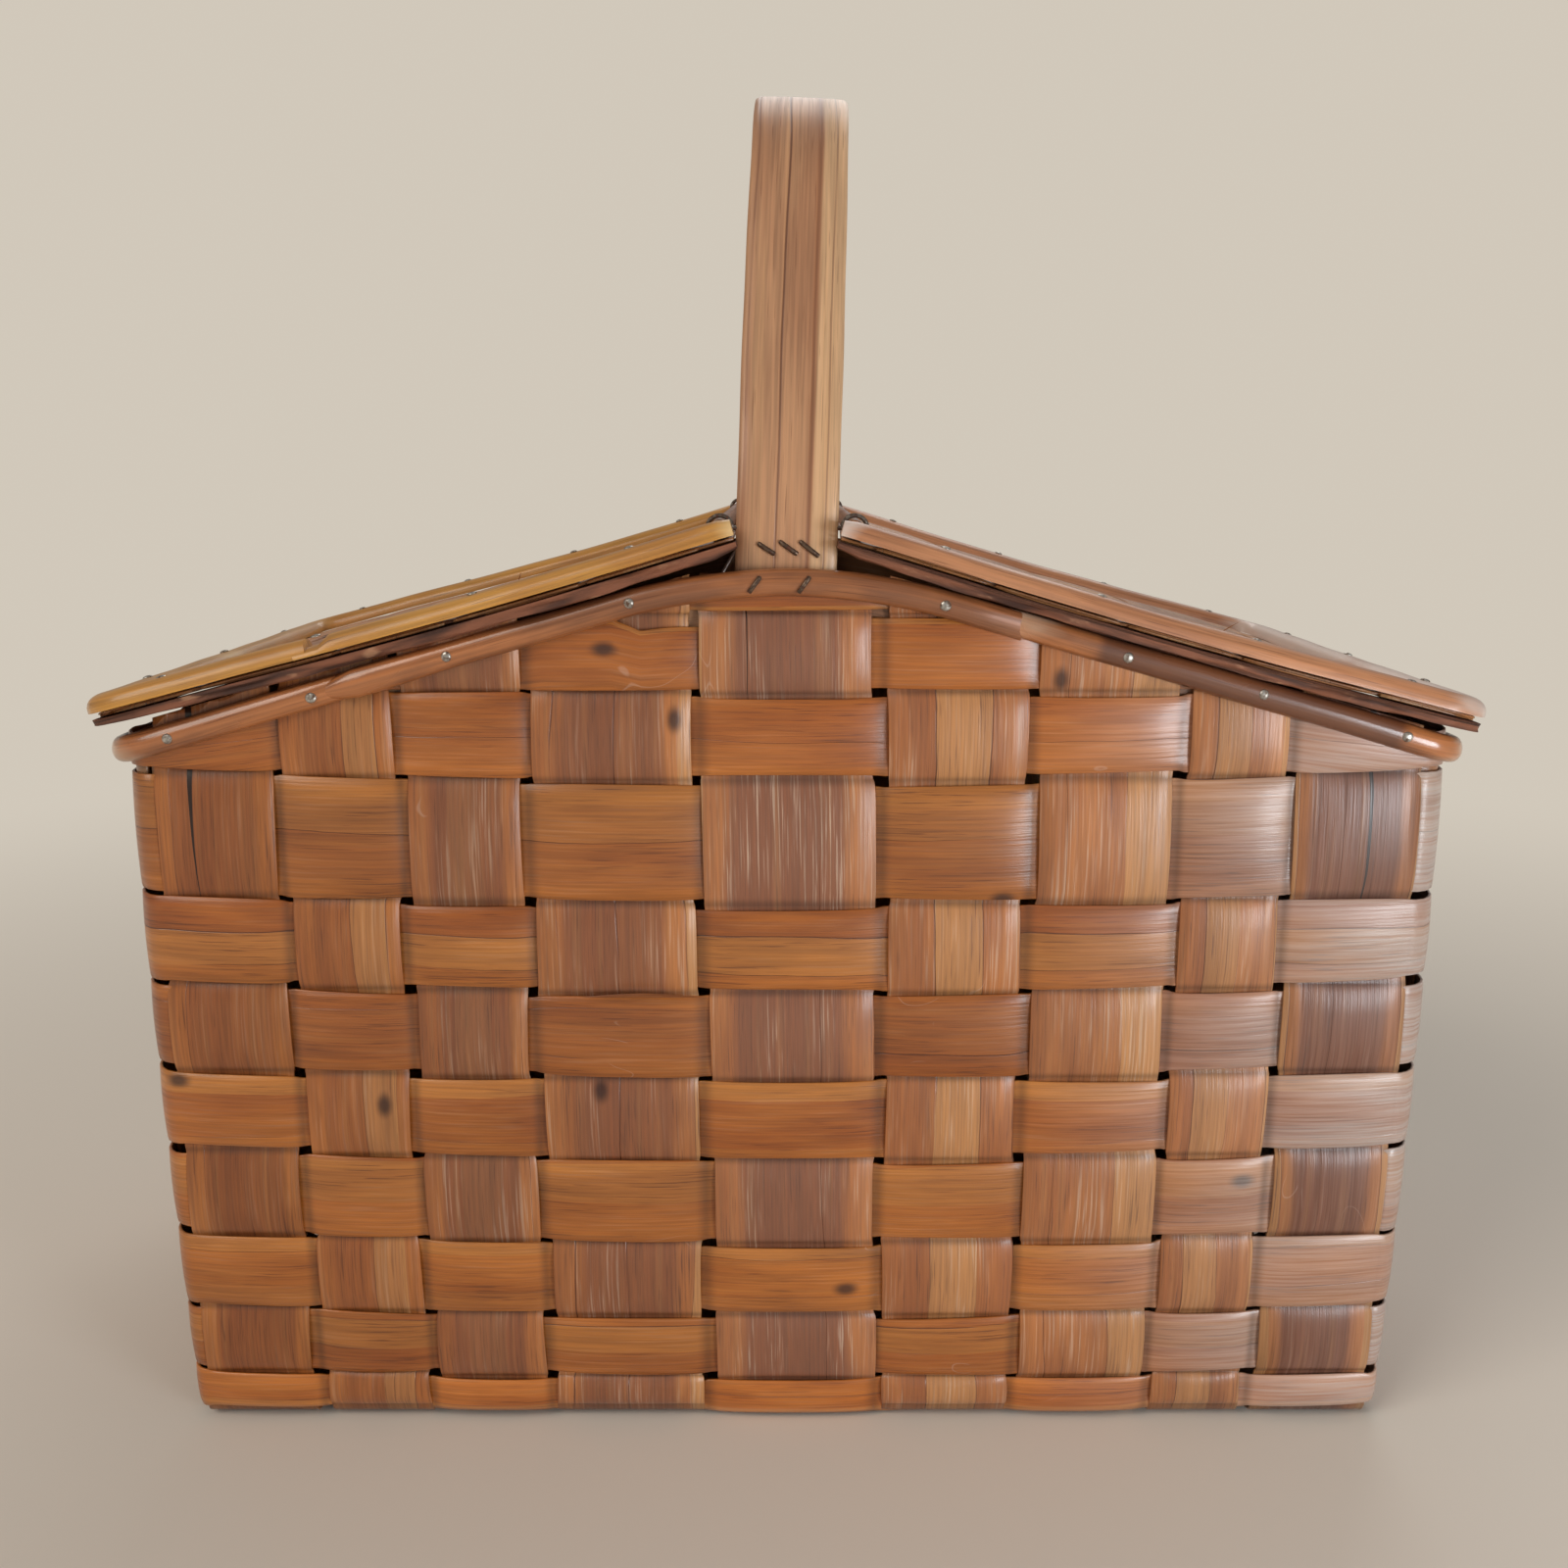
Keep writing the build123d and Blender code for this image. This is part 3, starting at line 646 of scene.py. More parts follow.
# Heartwood, lightness and weathering of each row, from the floor up.
ROW_LOOKS = (
    (0.0, 0.25, 0.0), (0.2, -0.04, 0.0), (0.0, 0.04, 0.0), (0.2, 0.02, 0.0), (0.1, 0.0, 0.0),
    (0.35, -0.04, 0.0), (0.1, 0.0, 0.0), (0.3, -0.08, 0.0), (0.2, 0.1, 0.0), (0.05, 0.02, 0.0),
    (0.0, -0.04, 0.0),
)
corner = [(math.radians(angle), CORNER_OUT, 1) for angle in (8, 26, 45, 64, 82)]
for row in range(FULL_ROWS):
    low, high = rows[row]
    bottom = low - 2.2 * MM if row == 0 else low
    long_way = row_cells(stakes, CORNER_X, row)
    end_way = row_cells(long_stakes, CORNER_Y, row + len(stakes))
    path = []
    for kind, way in (
        ("front", long_way), ((1, -1), corner), ("right", end_way), ((1, 1), corner[::-1]),
        ("back", long_way[::-1]), ((-1, 1), corner), ("left", end_way[::-1]), ((-1, -1), corner[::-1]),
    ):
        path += [(kind, *step) for step in way]
    # The ring starts and ends behind the sixth stake of the back wall, its ends lapped.
    start = len(long_way) + 2 * len(corner) + len(end_way) + len(ARCH_STEPS) * 7
    path = path[start:] + path[:start]
    path += [(kind, place, offset - SPLINT * 1.05, near) for kind, place, offset, near in path[:LAP]]
    stations = []
    along = 0.0
    for kind, place, offset, near in path:
        along += ROW_STEP
        x_here = place if kind in ("front", "back") else CORNER_X
        sag = sag_at(x_here)
        top = min(high, rim_z(x_here) + 3 * MM - sag)

        def point(v, wander):
            z = bottom + (top - bottom) * (v + 1) / 2 + sag + wander
            tuck = max(0.0, (6 * MM - z) / (6 * MM))
            out = cupped(offset, v) - 3.2 * MM * tuck**2
            if isinstance(kind, tuple):
                return corner_point(*kind, place, z, out)
            return row_point(kind, place, z, out)

        stations.append((points_across(point, row * 3 + 60, along, 1.15 * MM, 9), near))
    name = f"weaver_{row + 1}"
    weaver = lay_splint(f"{name}_splint", stations, row + 41, weaver_wood, ROW_LOOKS[row])
    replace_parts(weaver, name)
    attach(weaver, "basket")


# Gable weavers: short splints of the same wood that close the two peaks, woven over and under the
# middle stakes. Their ends run out under the rim, where the reed is nailed over them.
BROKEN = (-50 * MM, -25 * MM)  # where the tenth row's top edge has broken away in front

for row in (9, 10):
    low, high = rows[row]
    for side in ("front", "back"):
        number = row + 60 + (10 if side == "back" else 0)
        stations = []
        along = 0.0
        for place, offset, near in row_cells(stakes, CORNER_X, row):
            if rim_z(place) < low + 2.5 * MM:
                continue
            along += ROW_STEP
            top = min(high if row == 9 else RIM_PEAK + 3 * MM, rim_z(place) + 3 * MM)
            if row == 9 and side == "front" and BROKEN[0] < place < BROKEN[1]:
                top -= (3.2 + ragged(7, place * 3)) * MM
            points = []
            for j in range(ACROSS + 1):
                v = -1 + 2 * j / ACROSS
                z = low + (top - low) * (v + 1) / 2
                if v < 0:
                    z += 0.4 * MM * ragged(number, along)
                points.append(row_point(side, place, z, cupped(offset, v)))
            stations.append((points, near))
        name = f"gable_weaver_{side}_{row + 1}"
        strip = lay_splint(f"{name}_splint", stations, number, weaver_wood, ROW_LOOKS[row])
        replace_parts(strip, name)
        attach(strip, "basket")


# Rim reed: a half-round rod of dark varnished hardwood, nailed round the outside of the rim. It is
# in two lengths: the short one laps over the long one's end on the left and meets it on the right.
REED_CORNER = 11.5 * MM
REED_STEP = 5 * MM
LAP_X = -143 * MM
SPLICE_X = 75 * MM


def rod_wood(name, colours, rough, coat, streaks):
    """Wood with its grain along a rod. colours are its own, a darker one and a pale one that is
    painted for wear and, at the rim's corners and the trims' tips, also for a highlight. The third
    part of strip says how pale it is painted, or how dark where it is below nothing."""
    wood, shader = painted(name)
    base, dark, worn = [srgb(*colour) for colour in colours]
    grain = mark("grain")
    wear_and_highlight = parts(mark("strip"))[2]
    fibre = stretched(grain, (22, 1000, 40), 3)
    streak = stretched(grain, (7, 420, 53), 2)
    patch = stretched(grain, (26, 90, 71), 3)
    dash = stretched(grain, (45, 2100, 61), 1)
    colour = mix(fade(patch, 0.35, 0.68, 0.0, 0.6), base, dark)
    colour = mix(fade(streak, 0.56, 0.72, 0.0, streaks), colour, dark)
    colour = mix(1.0, colour, fade(fibre, 0.3, 0.7, 0.82, 1.14), "MULTIPLY")
    colour = mix(fade(dash, 0.35, 0.27, 0.0, 0.5), colour, DARK_LINE)
    # Pale patches show wear. At the rim's corners and the trims' tips they also carry a painted
    # highlight.
    pale_patches = times(calc("SUBTRACT", patch, 0.5), 1.1, wear_and_highlight)
    colour = mix(fade(pale_patches, 0.35, 0.75, 0.0, 0.85), colour, worn)
    colour = mix(fade(wear_and_highlight, 0.0, -1.0, 0.0, 0.8), colour, dark)
    relief = times(patch, 1.2, times(streak, 0.8, fibre))
    varnish = {"Coat Weight": coat, "Coat Roughness": 0.16}
    gloss = fade(patch, 0.3, 0.7, rough - 0.06, rough + 0.08)
    dress(shader, colour, relief, 0.4, 0.00022, {"Roughness": gloss, **varnish})
    return wood


def lay_rod(name, rings, number, wood, wear_and_highlight=None, spread=None):
    """Skin a rod through rings of points, closed round it and at both ends. spread gives each
    point's place across the grain. The other list says how pale each ring is painted, for wear
    and, at the rim's corners and the trims' tips, also for a highlight."""
    around = len(rings[0])
    reach = travelled([ring[0] for ring in rings])
    spread = spread or travelled(rings[len(rings) // 2])
    tone = random.Random(number * 7 + 3).random()

    def spot_at(n, j):
        j = j % around
        grain = (reach[n], spread[j], number * GRAIN_APART)
        return rings[n][j], grain, (spread[j], tone, wear_and_highlight[n] if wear_and_highlight else 0)

    rod = lay_sheet(name, len(rings) - 1, around, wood, ("grain", "strip"), spot_at)
    smooth_off(closing=True)
    return rod


def half_round(place, outward, along, thick, high, fullness=0.72):
    """A ring round a half-round rod, flat at its back."""
    up = outward.cross(along).normalized()
    ring = []
    for step in range(13):
        angle = math.radians(15 * step - 90)
        out = thick * max(math.cos(angle), 0.0) ** fullness
        ring.append(place + up * (high / 2 * math.sin(angle)) + outward * out)
    return ring


def turns(path):
    """The direction of a path at each of its points."""
    ends = [path[min(n + 1, len(path) - 1)] - path[max(n - 1, 0)] for n in range(len(path))]
    return [step.normalized() for step in ends]


def rim_loop(back, radius):
    """Places and directions once round the rim in plan, from the front left corner rightwards."""
    half_x = RIM_X + back - radius
    half_y = RIM_Y + back - radius
    runs = (((-1, -1), (0, -1)), ((1, -1), (1, 0)), ((1, 1), (0, 1)), ((-1, 1), (-1, 0)))
    loop = []
    for k, ((from_x, from_y), (out_x, out_y)) in enumerate(runs):
        to_x, to_y = runs[(k + 1) % 4][0]
        pieces = round(2 * (half_y if k % 2 else half_x) / REED_STEP)
        for n in range(pieces + 1):
            x = half_x * from_x + (to_x - from_x) * half_x * n / pieces + out_x * radius
            y = half_y * from_y + (to_y - from_y) * half_y * n / pieces + out_y * radius
            loop.append((Vector((x, y, 0)), Vector((out_x, out_y, 0))))
        for step in range(1, 8):
            angle = math.radians(90 * (k - 1) + 90 * step / 8)
            facing = Vector((math.cos(angle), math.sin(angle), 0))
            loop.append((Vector((to_x * half_x, to_y * half_y, 0)) + facing * radius, facing))
    return loop


reed_wood = rod_wood(
    "rim_reed_wood", ((176, 110, 66), (88, 54, 40), (206, 174, 146)), 0.3, 0.6, 0.3
)
whole = rim_loop(REED_BACK, REED_CORNER)
front_run = [spot for spot in whole if spot[1].y < -0.9]
short = [spot for spot in front_run if LAP_X <= spot[0].x <= SPLICE_X]
long = [spot for spot in front_run if spot[0].x > SPLICE_X - 9 * MM]
long += [spot for spot in whole if spot[1].y > -0.9]
long += [spot for spot in front_run if spot[0].x < LAP_X + 15 * MM]


def lay_reed(name, spots, number, shaping):
    """Bend a reed through spots on the rim. shaping gives lift, thickness, height and how pale it is
    painted, for wear and, at the corners, also for a highlight.
    """
    path = []
    for n, (spot, outward) in enumerate(spots):
        wander = 0.35 * MM * ragged(number, n * REED_STEP)
        path.append(Vector((spot.x, spot.y, rim_z(spot.x) + wander)))
    rings = []
    wear_and_highlight = []
    for n, along in enumerate(turns(path)):
        lift, thick, high, pale_share = shaping(n, len(path), path[n])
        outward = spots[n][1]
        uneven = 1 + 0.05 * ragged(number + 2, n * REED_STEP)
        rings.append(half_round(path[n] + outward * lift, outward, along, thick, high * uneven))
        wear_and_highlight.append(pale_share)
    reed = lay_rod(name, rings, number, reed_wood, wear_and_highlight)
    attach(reed, "basket")
    return reed


def short_reed(n, count, place):
    """The short reed's left end is thick and rounded. Its right end is thin and torn."""
    blunt = math.sqrt(min(1.0, 0.2 + n / 5 * 2.0))
    lapped = max(0.0, 1 - n / 8)
    thin = min(1.0, 0.45 + 0.55 * ((count - 1 - n) / 3))
    thick = (REED_T + 0.7 * MM * lapped) * blunt * thin
    return 1.0 * MM * lapped, thick, REED_H * blunt * (1 + 0.12 * lapped), 0.15 * lapped


def long_reed(n, count, place):
    """The long reed is paler at the corners, partly worn and partly a painted highlight, and thin
    where the short one laps over it.
    """
    left_end = (count - 1 - n) / 5
    thin = min(1.0, 0.3 + 0.7 * left_end) * min(1.0, 0.35 + 0.65 * n / 3)
    # The corners are painted paler: partly wear, partly a painted highlight.
    at_corner = max(0.0, 1 - abs(abs(place.x) - RIM_X) / (16 * MM))
    at_corner *= abs(place.y) > RIM_Y - 14 * MM
    wear_and_highlight = max(0.75 * at_corner, 0.7 * max(0.0, 1 - n / 6))
    if wear_and_highlight == 0 and place.x > 0:
        wear_and_highlight = -1.0
    return 0.0, REED_T * thin, REED_H * (0.9 + 0.1 * thin), wear_and_highlight


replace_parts(lay_reed("rim_reed_short", short, 81, short_reed), "rim_reed_front")
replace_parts(lay_reed("rim_reed_long", long, 82, long_reed), "rim_reed_round")


# Inner bands: two thin flat strips that line the rim inside and clamp the wall against the reed.
# Each stops at the sides of the handle's legs.
BAND_IN = 2.6 * MM  # from the middle of the wall to the middle of the band
BAND_T = 1.9 * MM
BAND_BELOW = 13 * MM
BAND_ABOVE = 4 * MM
BAND_LOOK = (0.3, -0.1, 0.1)
band_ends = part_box("inner_band_right")[0][0]
band_wood = splint_wood(
    "band_wood", ((150, 98, 62), (165, 110, 70), (120, 76, 54), (190, 145, 102)),
    streaks=0.2, bands=1.4,
)
for side, end_name in ((-1, "left"), (1, "right")):
    lining = rim_loop(-BAND_IN, 6 * MM)
    lining = [(spot, facing) for spot, facing in lining if spot.x * side > band_ends]
    if side < 0:
        split = max(n for n, (spot, facing) in enumerate(lining) if facing.y < -0.9) + 1
        lining = lining[split:] + lining[:split]
    stations = []
    for n, (spot, facing) in enumerate(lining):
        points = []
        for j in range(ACROSS + 1):
            v = j / ACROSS
            z = rim_z(spot.x) - BAND_BELOW + (BAND_BELOW + BAND_ABOVE) * v
            z += 0.4 * MM * ragged(90 + side + 3 * (v > 0.5), n * REED_STEP)
            points.append((spot.x, spot.y, z))
        stations.append((points, 0.8))
    name = f"inner_band_{end_name}"
    band = lay_splint(f"{name}_strip", stations, 91 + side, band_wood, BAND_LOOK, BAND_T)
    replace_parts(band, name)
    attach(band, "basket")


# Handle: one flat band of split hardwood, steamed and bent to a hoop. Its legs run down inside the
# long walls and are nailed there. Long brown lines and cracks follow the grain all the way round.
HOOP_LEAN = math.radians(2)
HINGE_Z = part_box("left_lid_rail")[1][2] - 3 * MM
HANDLE_W = 31.5 * MM
HANDLE_T = 3.4 * MM
LEG_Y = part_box("handle")[1][1] - 1.8 * MM
FOOT_Z = 205 * MM
SHOULDER_Z = 322 * MM
TOP_Z = 448.2 * MM
CROWN_HALF = 48 * MM
INSIDE_Z = 260 * MM  # a height inside the hoop


def rounded(points, radii, step):
    """A line through points with its corners rounded, as evenly spaced places."""
    places = [Vector(points[0])]
    for n in range(1, len(points) - 1):
        radius = radii[n - 1]
        here = Vector(points[n])
        back = (Vector(points[n - 1]) - here).normalized()
        ahead = (Vector(points[n + 1]) - here).normalized()
        half = back.angle(ahead) / 2
        reach = radius / math.tan(half)
        centre = here + (back + ahead).normalized() * (radius / math.sin(half))
        start = (here + back * reach - centre).normalized()
        end = (here + ahead * reach - centre).normalized()
        pieces = max(3, round(radius * start.angle(end) / step))
        for piece in range(pieces + 1):
            places.append(centre + start.slerp(end, piece / pieces) * radius)
    places.append(Vector(points[-1]))
    even = [places[0]]
    for start, end in zip(places, places[1:]):
        pieces = max(1, round((end - start).length / step))
        even += [start.lerp(end, (piece + 1) / pieces) for piece in range(pieces)]
    return even


# Each brown line's place across the handle and half width, in metres, and its strength.
HOOP_LINES = (
    (-0.0138, 0.0005, 0.4), (-0.0034, 0.0005, 0.75), (0.0066, 0.0006, 0.8), (0.0118, 0.0004, 0.45)
)


def hoop_wood():
    """The handle's wood: tan, with fine grain, long brown lines and a pale right edge."""
    wood, shader = painted("handle_wood_grain")
    grain = mark("grain")
    fibre = stretched(grain, (20, 900, 40), 3)
    streak = stretched(grain, (5, 380, 53), 2)
    patch = stretched(grain, (13, 60, 71), 3)
    dash = stretched(grain, (40, 1900, 61), 1)
    sway = stretched(grain, (9, 4, 13), 2)
    place = times(calc("SUBTRACT", sway, 0.5), 0.0035, parts(grain)[1])
    colour = mix(fade(patch, 0.35, 0.65), srgb(186, 138, 102), srgb(168, 120, 88))
    colour = mix(fade(place, 0.0070, 0.0080), colour, srgb(206, 164, 124))
    colour = mix(fade(streak, 0.56, 0.72, 0.0, 0.5), colour, srgb(146, 94, 62))
    colour = mix(fade(streak, 0.42, 0.28, 0.0, 0.4), colour, srgb(208, 160, 114))
    colour = mix(1.0, colour, fade(fibre, 0.3, 0.7, 0.8, 1.15), "MULTIPLY")
    colour = mix(fade(dash, 0.36, 0.28, 0.0, 0.5), colour, srgb(112, 66, 42))
    depth = 0.0
    for spot, width, strength in HOOP_LINES:
        near = off(place, spot)
        line = times(
            fade(near, width, width * 0.3, 0.0, strength), fade(streak, 0.62, 0.45, 0.35, 1.0)
        )
        halo = fade(near, width * 3.5, 0.0, 0.0, strength * 0.35)
        colour = mix(halo, colour, srgb(150, 96, 66))
        colour = mix(line, colour, srgb(84, 46, 30))
        depth = calc("ADD", line, depth)
    relief = times(depth, -1.3, times(streak, 0.8, fibre))
    rough = fade(fibre, 0.2, 0.8, 0.5, 0.38)
    varnish = {"Coat Weight": 0.2, "Coat Roughness": 0.25}
    dress(shader, colour, relief, 0.5, 0.00025, {"Roughness": rough, **varnish})
    return wood


hoop_place = Vector((-math.sin(HOOP_LEAN) * HINGE_Z, 0, HINGE_Z * (1 - math.cos(HOOP_LEAN))))
hoop_side = Vector((math.cos(HOOP_LEAN), 0, -math.sin(HOOP_LEAN)))
hoop_up = Vector((math.sin(HOOP_LEAN), 0, math.cos(HOOP_LEAN)))
hoop_corners = [
    (0, -LEG_Y, FOOT_Z), (0, -LEG_Y, SHOULDER_Z), (0, -CROWN_HALF, TOP_Z),
    (0, CROWN_HALF, TOP_Z), (0, LEG_Y, SHOULDER_Z), (0, LEG_Y, FOOT_Z),
]
line = rounded(hoop_corners, (80 * MM, 77 * MM, 77 * MM, 80 * MM), REED_STEP)
widths = [-1, -0.985, -0.9, -0.66, -0.33, 0, 0.33, 0.66, 0.9, 0.985, 1]
rings = []
for n, along in enumerate(turns(line)):
    outward = Vector((1, 0, 0)).cross(along)
    outward = outward if outward.dot(line[n] - Vector((0, 0, INSIDE_Z))) > 0 else -outward
    ring = []
    for face in (1, -1):
        for j in widths if face > 0 else reversed(widths):
            full = 1 - max(0.0, (abs(j) - 0.9) / 0.1) ** 2 * 0.55
            edge = 0.35 * MM * ragged(101 if j > 0 else 104, n * REED_STEP)
            bowed = 0.35 * MM * (1 - j * j)
            x = j * HANDLE_W / 2 + edge * abs(j)
            out = face * HANDLE_T / 2 * full + (bowed if face > 0 else 0) - 0.35 * MM
            flat = line[n] + outward * out
            ring.append(hoop_place + hoop_side * x + hoop_up * flat.z + Vector((0, flat.y, 0)))
    rings.append(ring)
across = [j * HANDLE_W / 2 for j in widths + widths[::-1]]
hoop = lay_rod("handle_hoop", rings, 103, hoop_wood(), spread=across)
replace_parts(hoop, "handle")
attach(hoop, "basket")


# Centre slat: a plain flat board under the hoop, nailed through both legs, that closes the gap
# between the lids. Its top is a little rounded by wear.
SLAT_STATIONS = 40
slat_low, slat_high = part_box("centre_slat")
slat_wood = rod_wood(
    "centre_slat_wood", ((156, 104, 66), (124, 78, 50), (196, 152, 112)), 0.42, 0.2, 0.5
)
middle_z = (slat_low[2] + slat_high[2]) / 2
half_t = (slat_high[2] - slat_low[2]) / 2
rings = []
for n in range(SLAT_STATIONS + 1):
    y = slat_low[1] + (slat_high[1] - slat_low[1]) * n / SLAT_STATIONS
    half = slat_high[0] - 0.2 * MM + 0.2 * MM * ragged(111, n * 6 * MM)
    ring = []
    for step in range(24):
        angle = math.tau * step / 24
        x = half * math.copysign(abs(math.cos(angle)) ** 0.35, math.cos(angle))
        z = middle_z + half_t * math.copysign(abs(math.sin(angle)) ** 0.3, math.sin(angle))
        ring.append(Vector((x, y, z)))
    rings.append(ring)
slat = lay_rod("centre_slat_board", rings, 112, slat_wood, [0.25] * len(rings))
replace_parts(slat, "centre_slat")
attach(slat, "basket")


# Lid rails: each lid hangs on one round stick along its inner edge, whittled by hand. It turns in
# two wire eyes at each end of the hoop's legs.
LIDS = ((-1, "left"), (1, "right"))
LID_SLOPE = math.radians(15.7)
HINGE_X = 20.6 * MM
RAIL_R = 2.9 * MM
RAIL_END = LEG_Y + 1.9 * MM
rail_wood = rod_wood(
    "lid_rail_wood", ((150, 98, 62), (112, 70, 46), (190, 150, 115)), 0.45, 0.15, 0.5
)


def on_lid(side, reach, y, height):
    """A point on a lid, from its reach out from the hinge line and its height over that plane."""
    x = side * (HINGE_X + reach * math.cos(LID_SLOPE) + height * math.sin(LID_SLOPE))
    return Vector((x, y, HINGE_Z - reach * math.sin(LID_SLOPE) + height * math.cos(LID_SLOPE)))


def lid_up(side):
    """The way that a lid's top faces."""
    return Vector((side * math.sin(LID_SLOPE), 0, math.cos(LID_SLOPE)))


def round_rod(path, radius, sides=12):
    """Round rings along a path."""
    rings = []
    for place, along in zip(path, turns(path)):
        first = along.orthogonal().normalized() if not rings else (first - along * first.dot(along))
        first = first.normalized()
        second = along.cross(first)
        ring = []
        for step in range(sides):
            angle = math.tau * step / sides
            ring.append(place + (first * math.cos(angle) + second * math.sin(angle)) * radius(place))
        rings.append(ring)
    return rings


def rail_radius(place):
    """A rail is a little thinner at its very ends."""
    return RAIL_R * (1 if abs(place.y) < RAIL_END - 0.5 * MM else 0.86)


for side, lid_name in LIDS:
    path = []
    for n in range(41):
        rise = 0.1 * MM * ragged(120 + side, n * 6 * MM)
        path.append(Vector((side * HINGE_X, RAIL_END * (n / 20 - 1), HINGE_Z + rise)))
    rings = round_rod(path, rail_radius)
    rail = lay_rod(f"{lid_name}_lid_rail_stick", rings, 121 + side, rail_wood)
    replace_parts(rail, f"{lid_name}_lid_rail")
    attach(rail, f"{lid_name}_lid")


# Hinge wires: an eye of soft iron wire round each end of a rail, its tail driven into the edge of
# the hoop's leg.
WIRE_R = 0.75 * MM
EYE_R = RAIL_R + WIRE_R + 0.15 * MM


def old_metal(name, bright, dull, rust, metallic):
    """Iron that has gone dull, with rust in patches."""
    metal, shader = painted(name)
    grime = stretched(node("TexCoord").outputs["Object"], (900, 900, 900), 3)
    colour = mix(fade(grime, 0.35, 0.6), srgb(*bright), srgb(*dull))
    colour = mix(fade(grime, 0.56, 0.66), colour, srgb(*rust))
    inputs = {
        "Metallic": fade(grime, 0.5, 0.66, metallic, 0.1),
        "Roughness": fade(grime, 0.4, 0.65, 0.32, 0.75),
    }
    dress(shader, colour, grime, 0.3, 0.0001, inputs)
    return metal


iron = old_metal("iron_wire", (128, 118, 108), (84, 74, 66), (84, 50, 34), 0.8)
for side, lid_name in LIDS:
    for end, end_name in ((-1, "front"), (1, "back")):
        path = []
        for step in range(27):
            angle = math.radians(180 - 12 * step)
            turn = Vector((side * math.cos(angle), 0, math.sin(angle))) * EYE_R
            slide = Vector((0, 0.05 * MM * step * end, 0))
            path.append(Vector((side * HINGE_X, end * LEG_Y, HINGE_Z)) + turn - slide)
        tail = Vector((side * (HANDLE_W / 2 - 3 * MM), end * LEG_Y, HINGE_Z))
        path = [tail.lerp(path[0], n / 4) for n in range(4)] + path
        rings = round_rod(path, lambda place: WIRE_R, 8)
        wire = lay_rod(f"{lid_name}_hinge_wire_{end_name}", rings, 131, iron)
        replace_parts(wire, f"{lid_name}_hinge_wires")
        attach(wire, "basket")


# Lid mats: each lid is woven of thin splints, six along the slope and five across it. They are laid
# close, and have dried to leave dark slits between them.
MAT_TOP = -2.9 * MM  # under the top trim, over the hinge plane
MAT_MIDDLE = -3.95 * MM
MAT_SPLINT = 0.8 * MM
MAT_RISE = 0.75 * MM
MAT_DROP = 0.55 * MM
MAT_HALF_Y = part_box("right_lid_cross_splints")[1][1]
LID_REACH = 206.97 * MM
LID_HALF_Y = 126 * MM
LONG_WIDTHS = (38, 40, 41, 39, 42, 38)  # mm, as cut
CROSS_WIDTHS = (30, 34, 29, 36, 31)
MAT_GAP = 3 * MM
MAT_END = 1.5 * MM  # how far a splint runs on past the last one that it crosses
MAT_CORNER = 17 * MM
TRIM_W = 12 * MM


def lid_bend(side, reach):
    """How far an old lid is bent from flat. The right one sags, and the left one's tip is raised."""
    u = min(max(reach / LID_REACH, 0), 1)
    if side > 0:
        return -1.7 * MM * math.sin(math.pi * u) ** 1.2
    return 1.1 * MM * u**3 - 0.9 * MM * math.sin(math.pi * min(u / 0.75, 1))


def lid_spot(side, reach, y, height):
    """A point on a bent lid."""
    return on_lid(side, reach, y, height + lid_bend(side, reach))


def crown(side, reach, y):
    """How far the mat swells up between its trims, which is more on the right lid."""
    inward = min(LID_REACH - 14 * MM - reach, MAT_HALF_Y - 14 * MM - abs(y), 40 * MM)
    swell = (2.4 if side > 0 else 0.6) * MM
    return swell * math.sin(math.pi / 2 * max(0.0, inward) / (40 * MM))


def mat_spot(side, reach, y, offset):
    """A point on a lid's mat, whose outer corners are cut round to follow the trim."""
    reach = min(reach, LID_REACH - 2.5 * MM)
    y = max(-MAT_HALF_Y, min(MAT_HALF_Y, y))
    past_reach = reach - (LID_REACH - MAT_CORNER)
    past_y = abs(y) - (LID_HALF_Y - MAT_CORNER)
    past = math.hypot(past_reach, past_y)
    if past_reach > 0 and past_y > 0 and past > MAT_CORNER - 3 * MM:
        pull = (MAT_CORNER - 3 * MM) / past
        reach = LID_REACH - MAT_CORNER + past_reach * pull
        y = math.copysign(LID_HALF_Y - MAT_CORNER + past_y * pull, y)
    return lid_spot(side, reach, y, MAT_MIDDLE + offset + crown(side, reach, y))


def spread_out(widths, start, end):
    """Lay strips side by side from start to end, in proportion to their widths."""
    share = (end - start - MAT_GAP * (len(widths) - 1)) / sum(widths)
    placed = []
    edge = start
    for width in widths:
        placed.append((edge, edge + width * share))
        edge += width * share + MAT_GAP
    return placed


lid_wood = splint_wood(
    "lid_splint_wood", ((172, 112, 66), (190, 130, 78), (140, 90, 60), (208, 158, 108)),
    streaks=0.2, bands=1.4, coat=0.15,
)
mat_long = spread_out(LONG_WIDTHS, -MAT_HALF_Y + 2 * MM, MAT_HALF_Y - 2 * MM)
mat_cross = spread_out(CROSS_WIDTHS, 8 * MM, LID_REACH - 2 * MM)


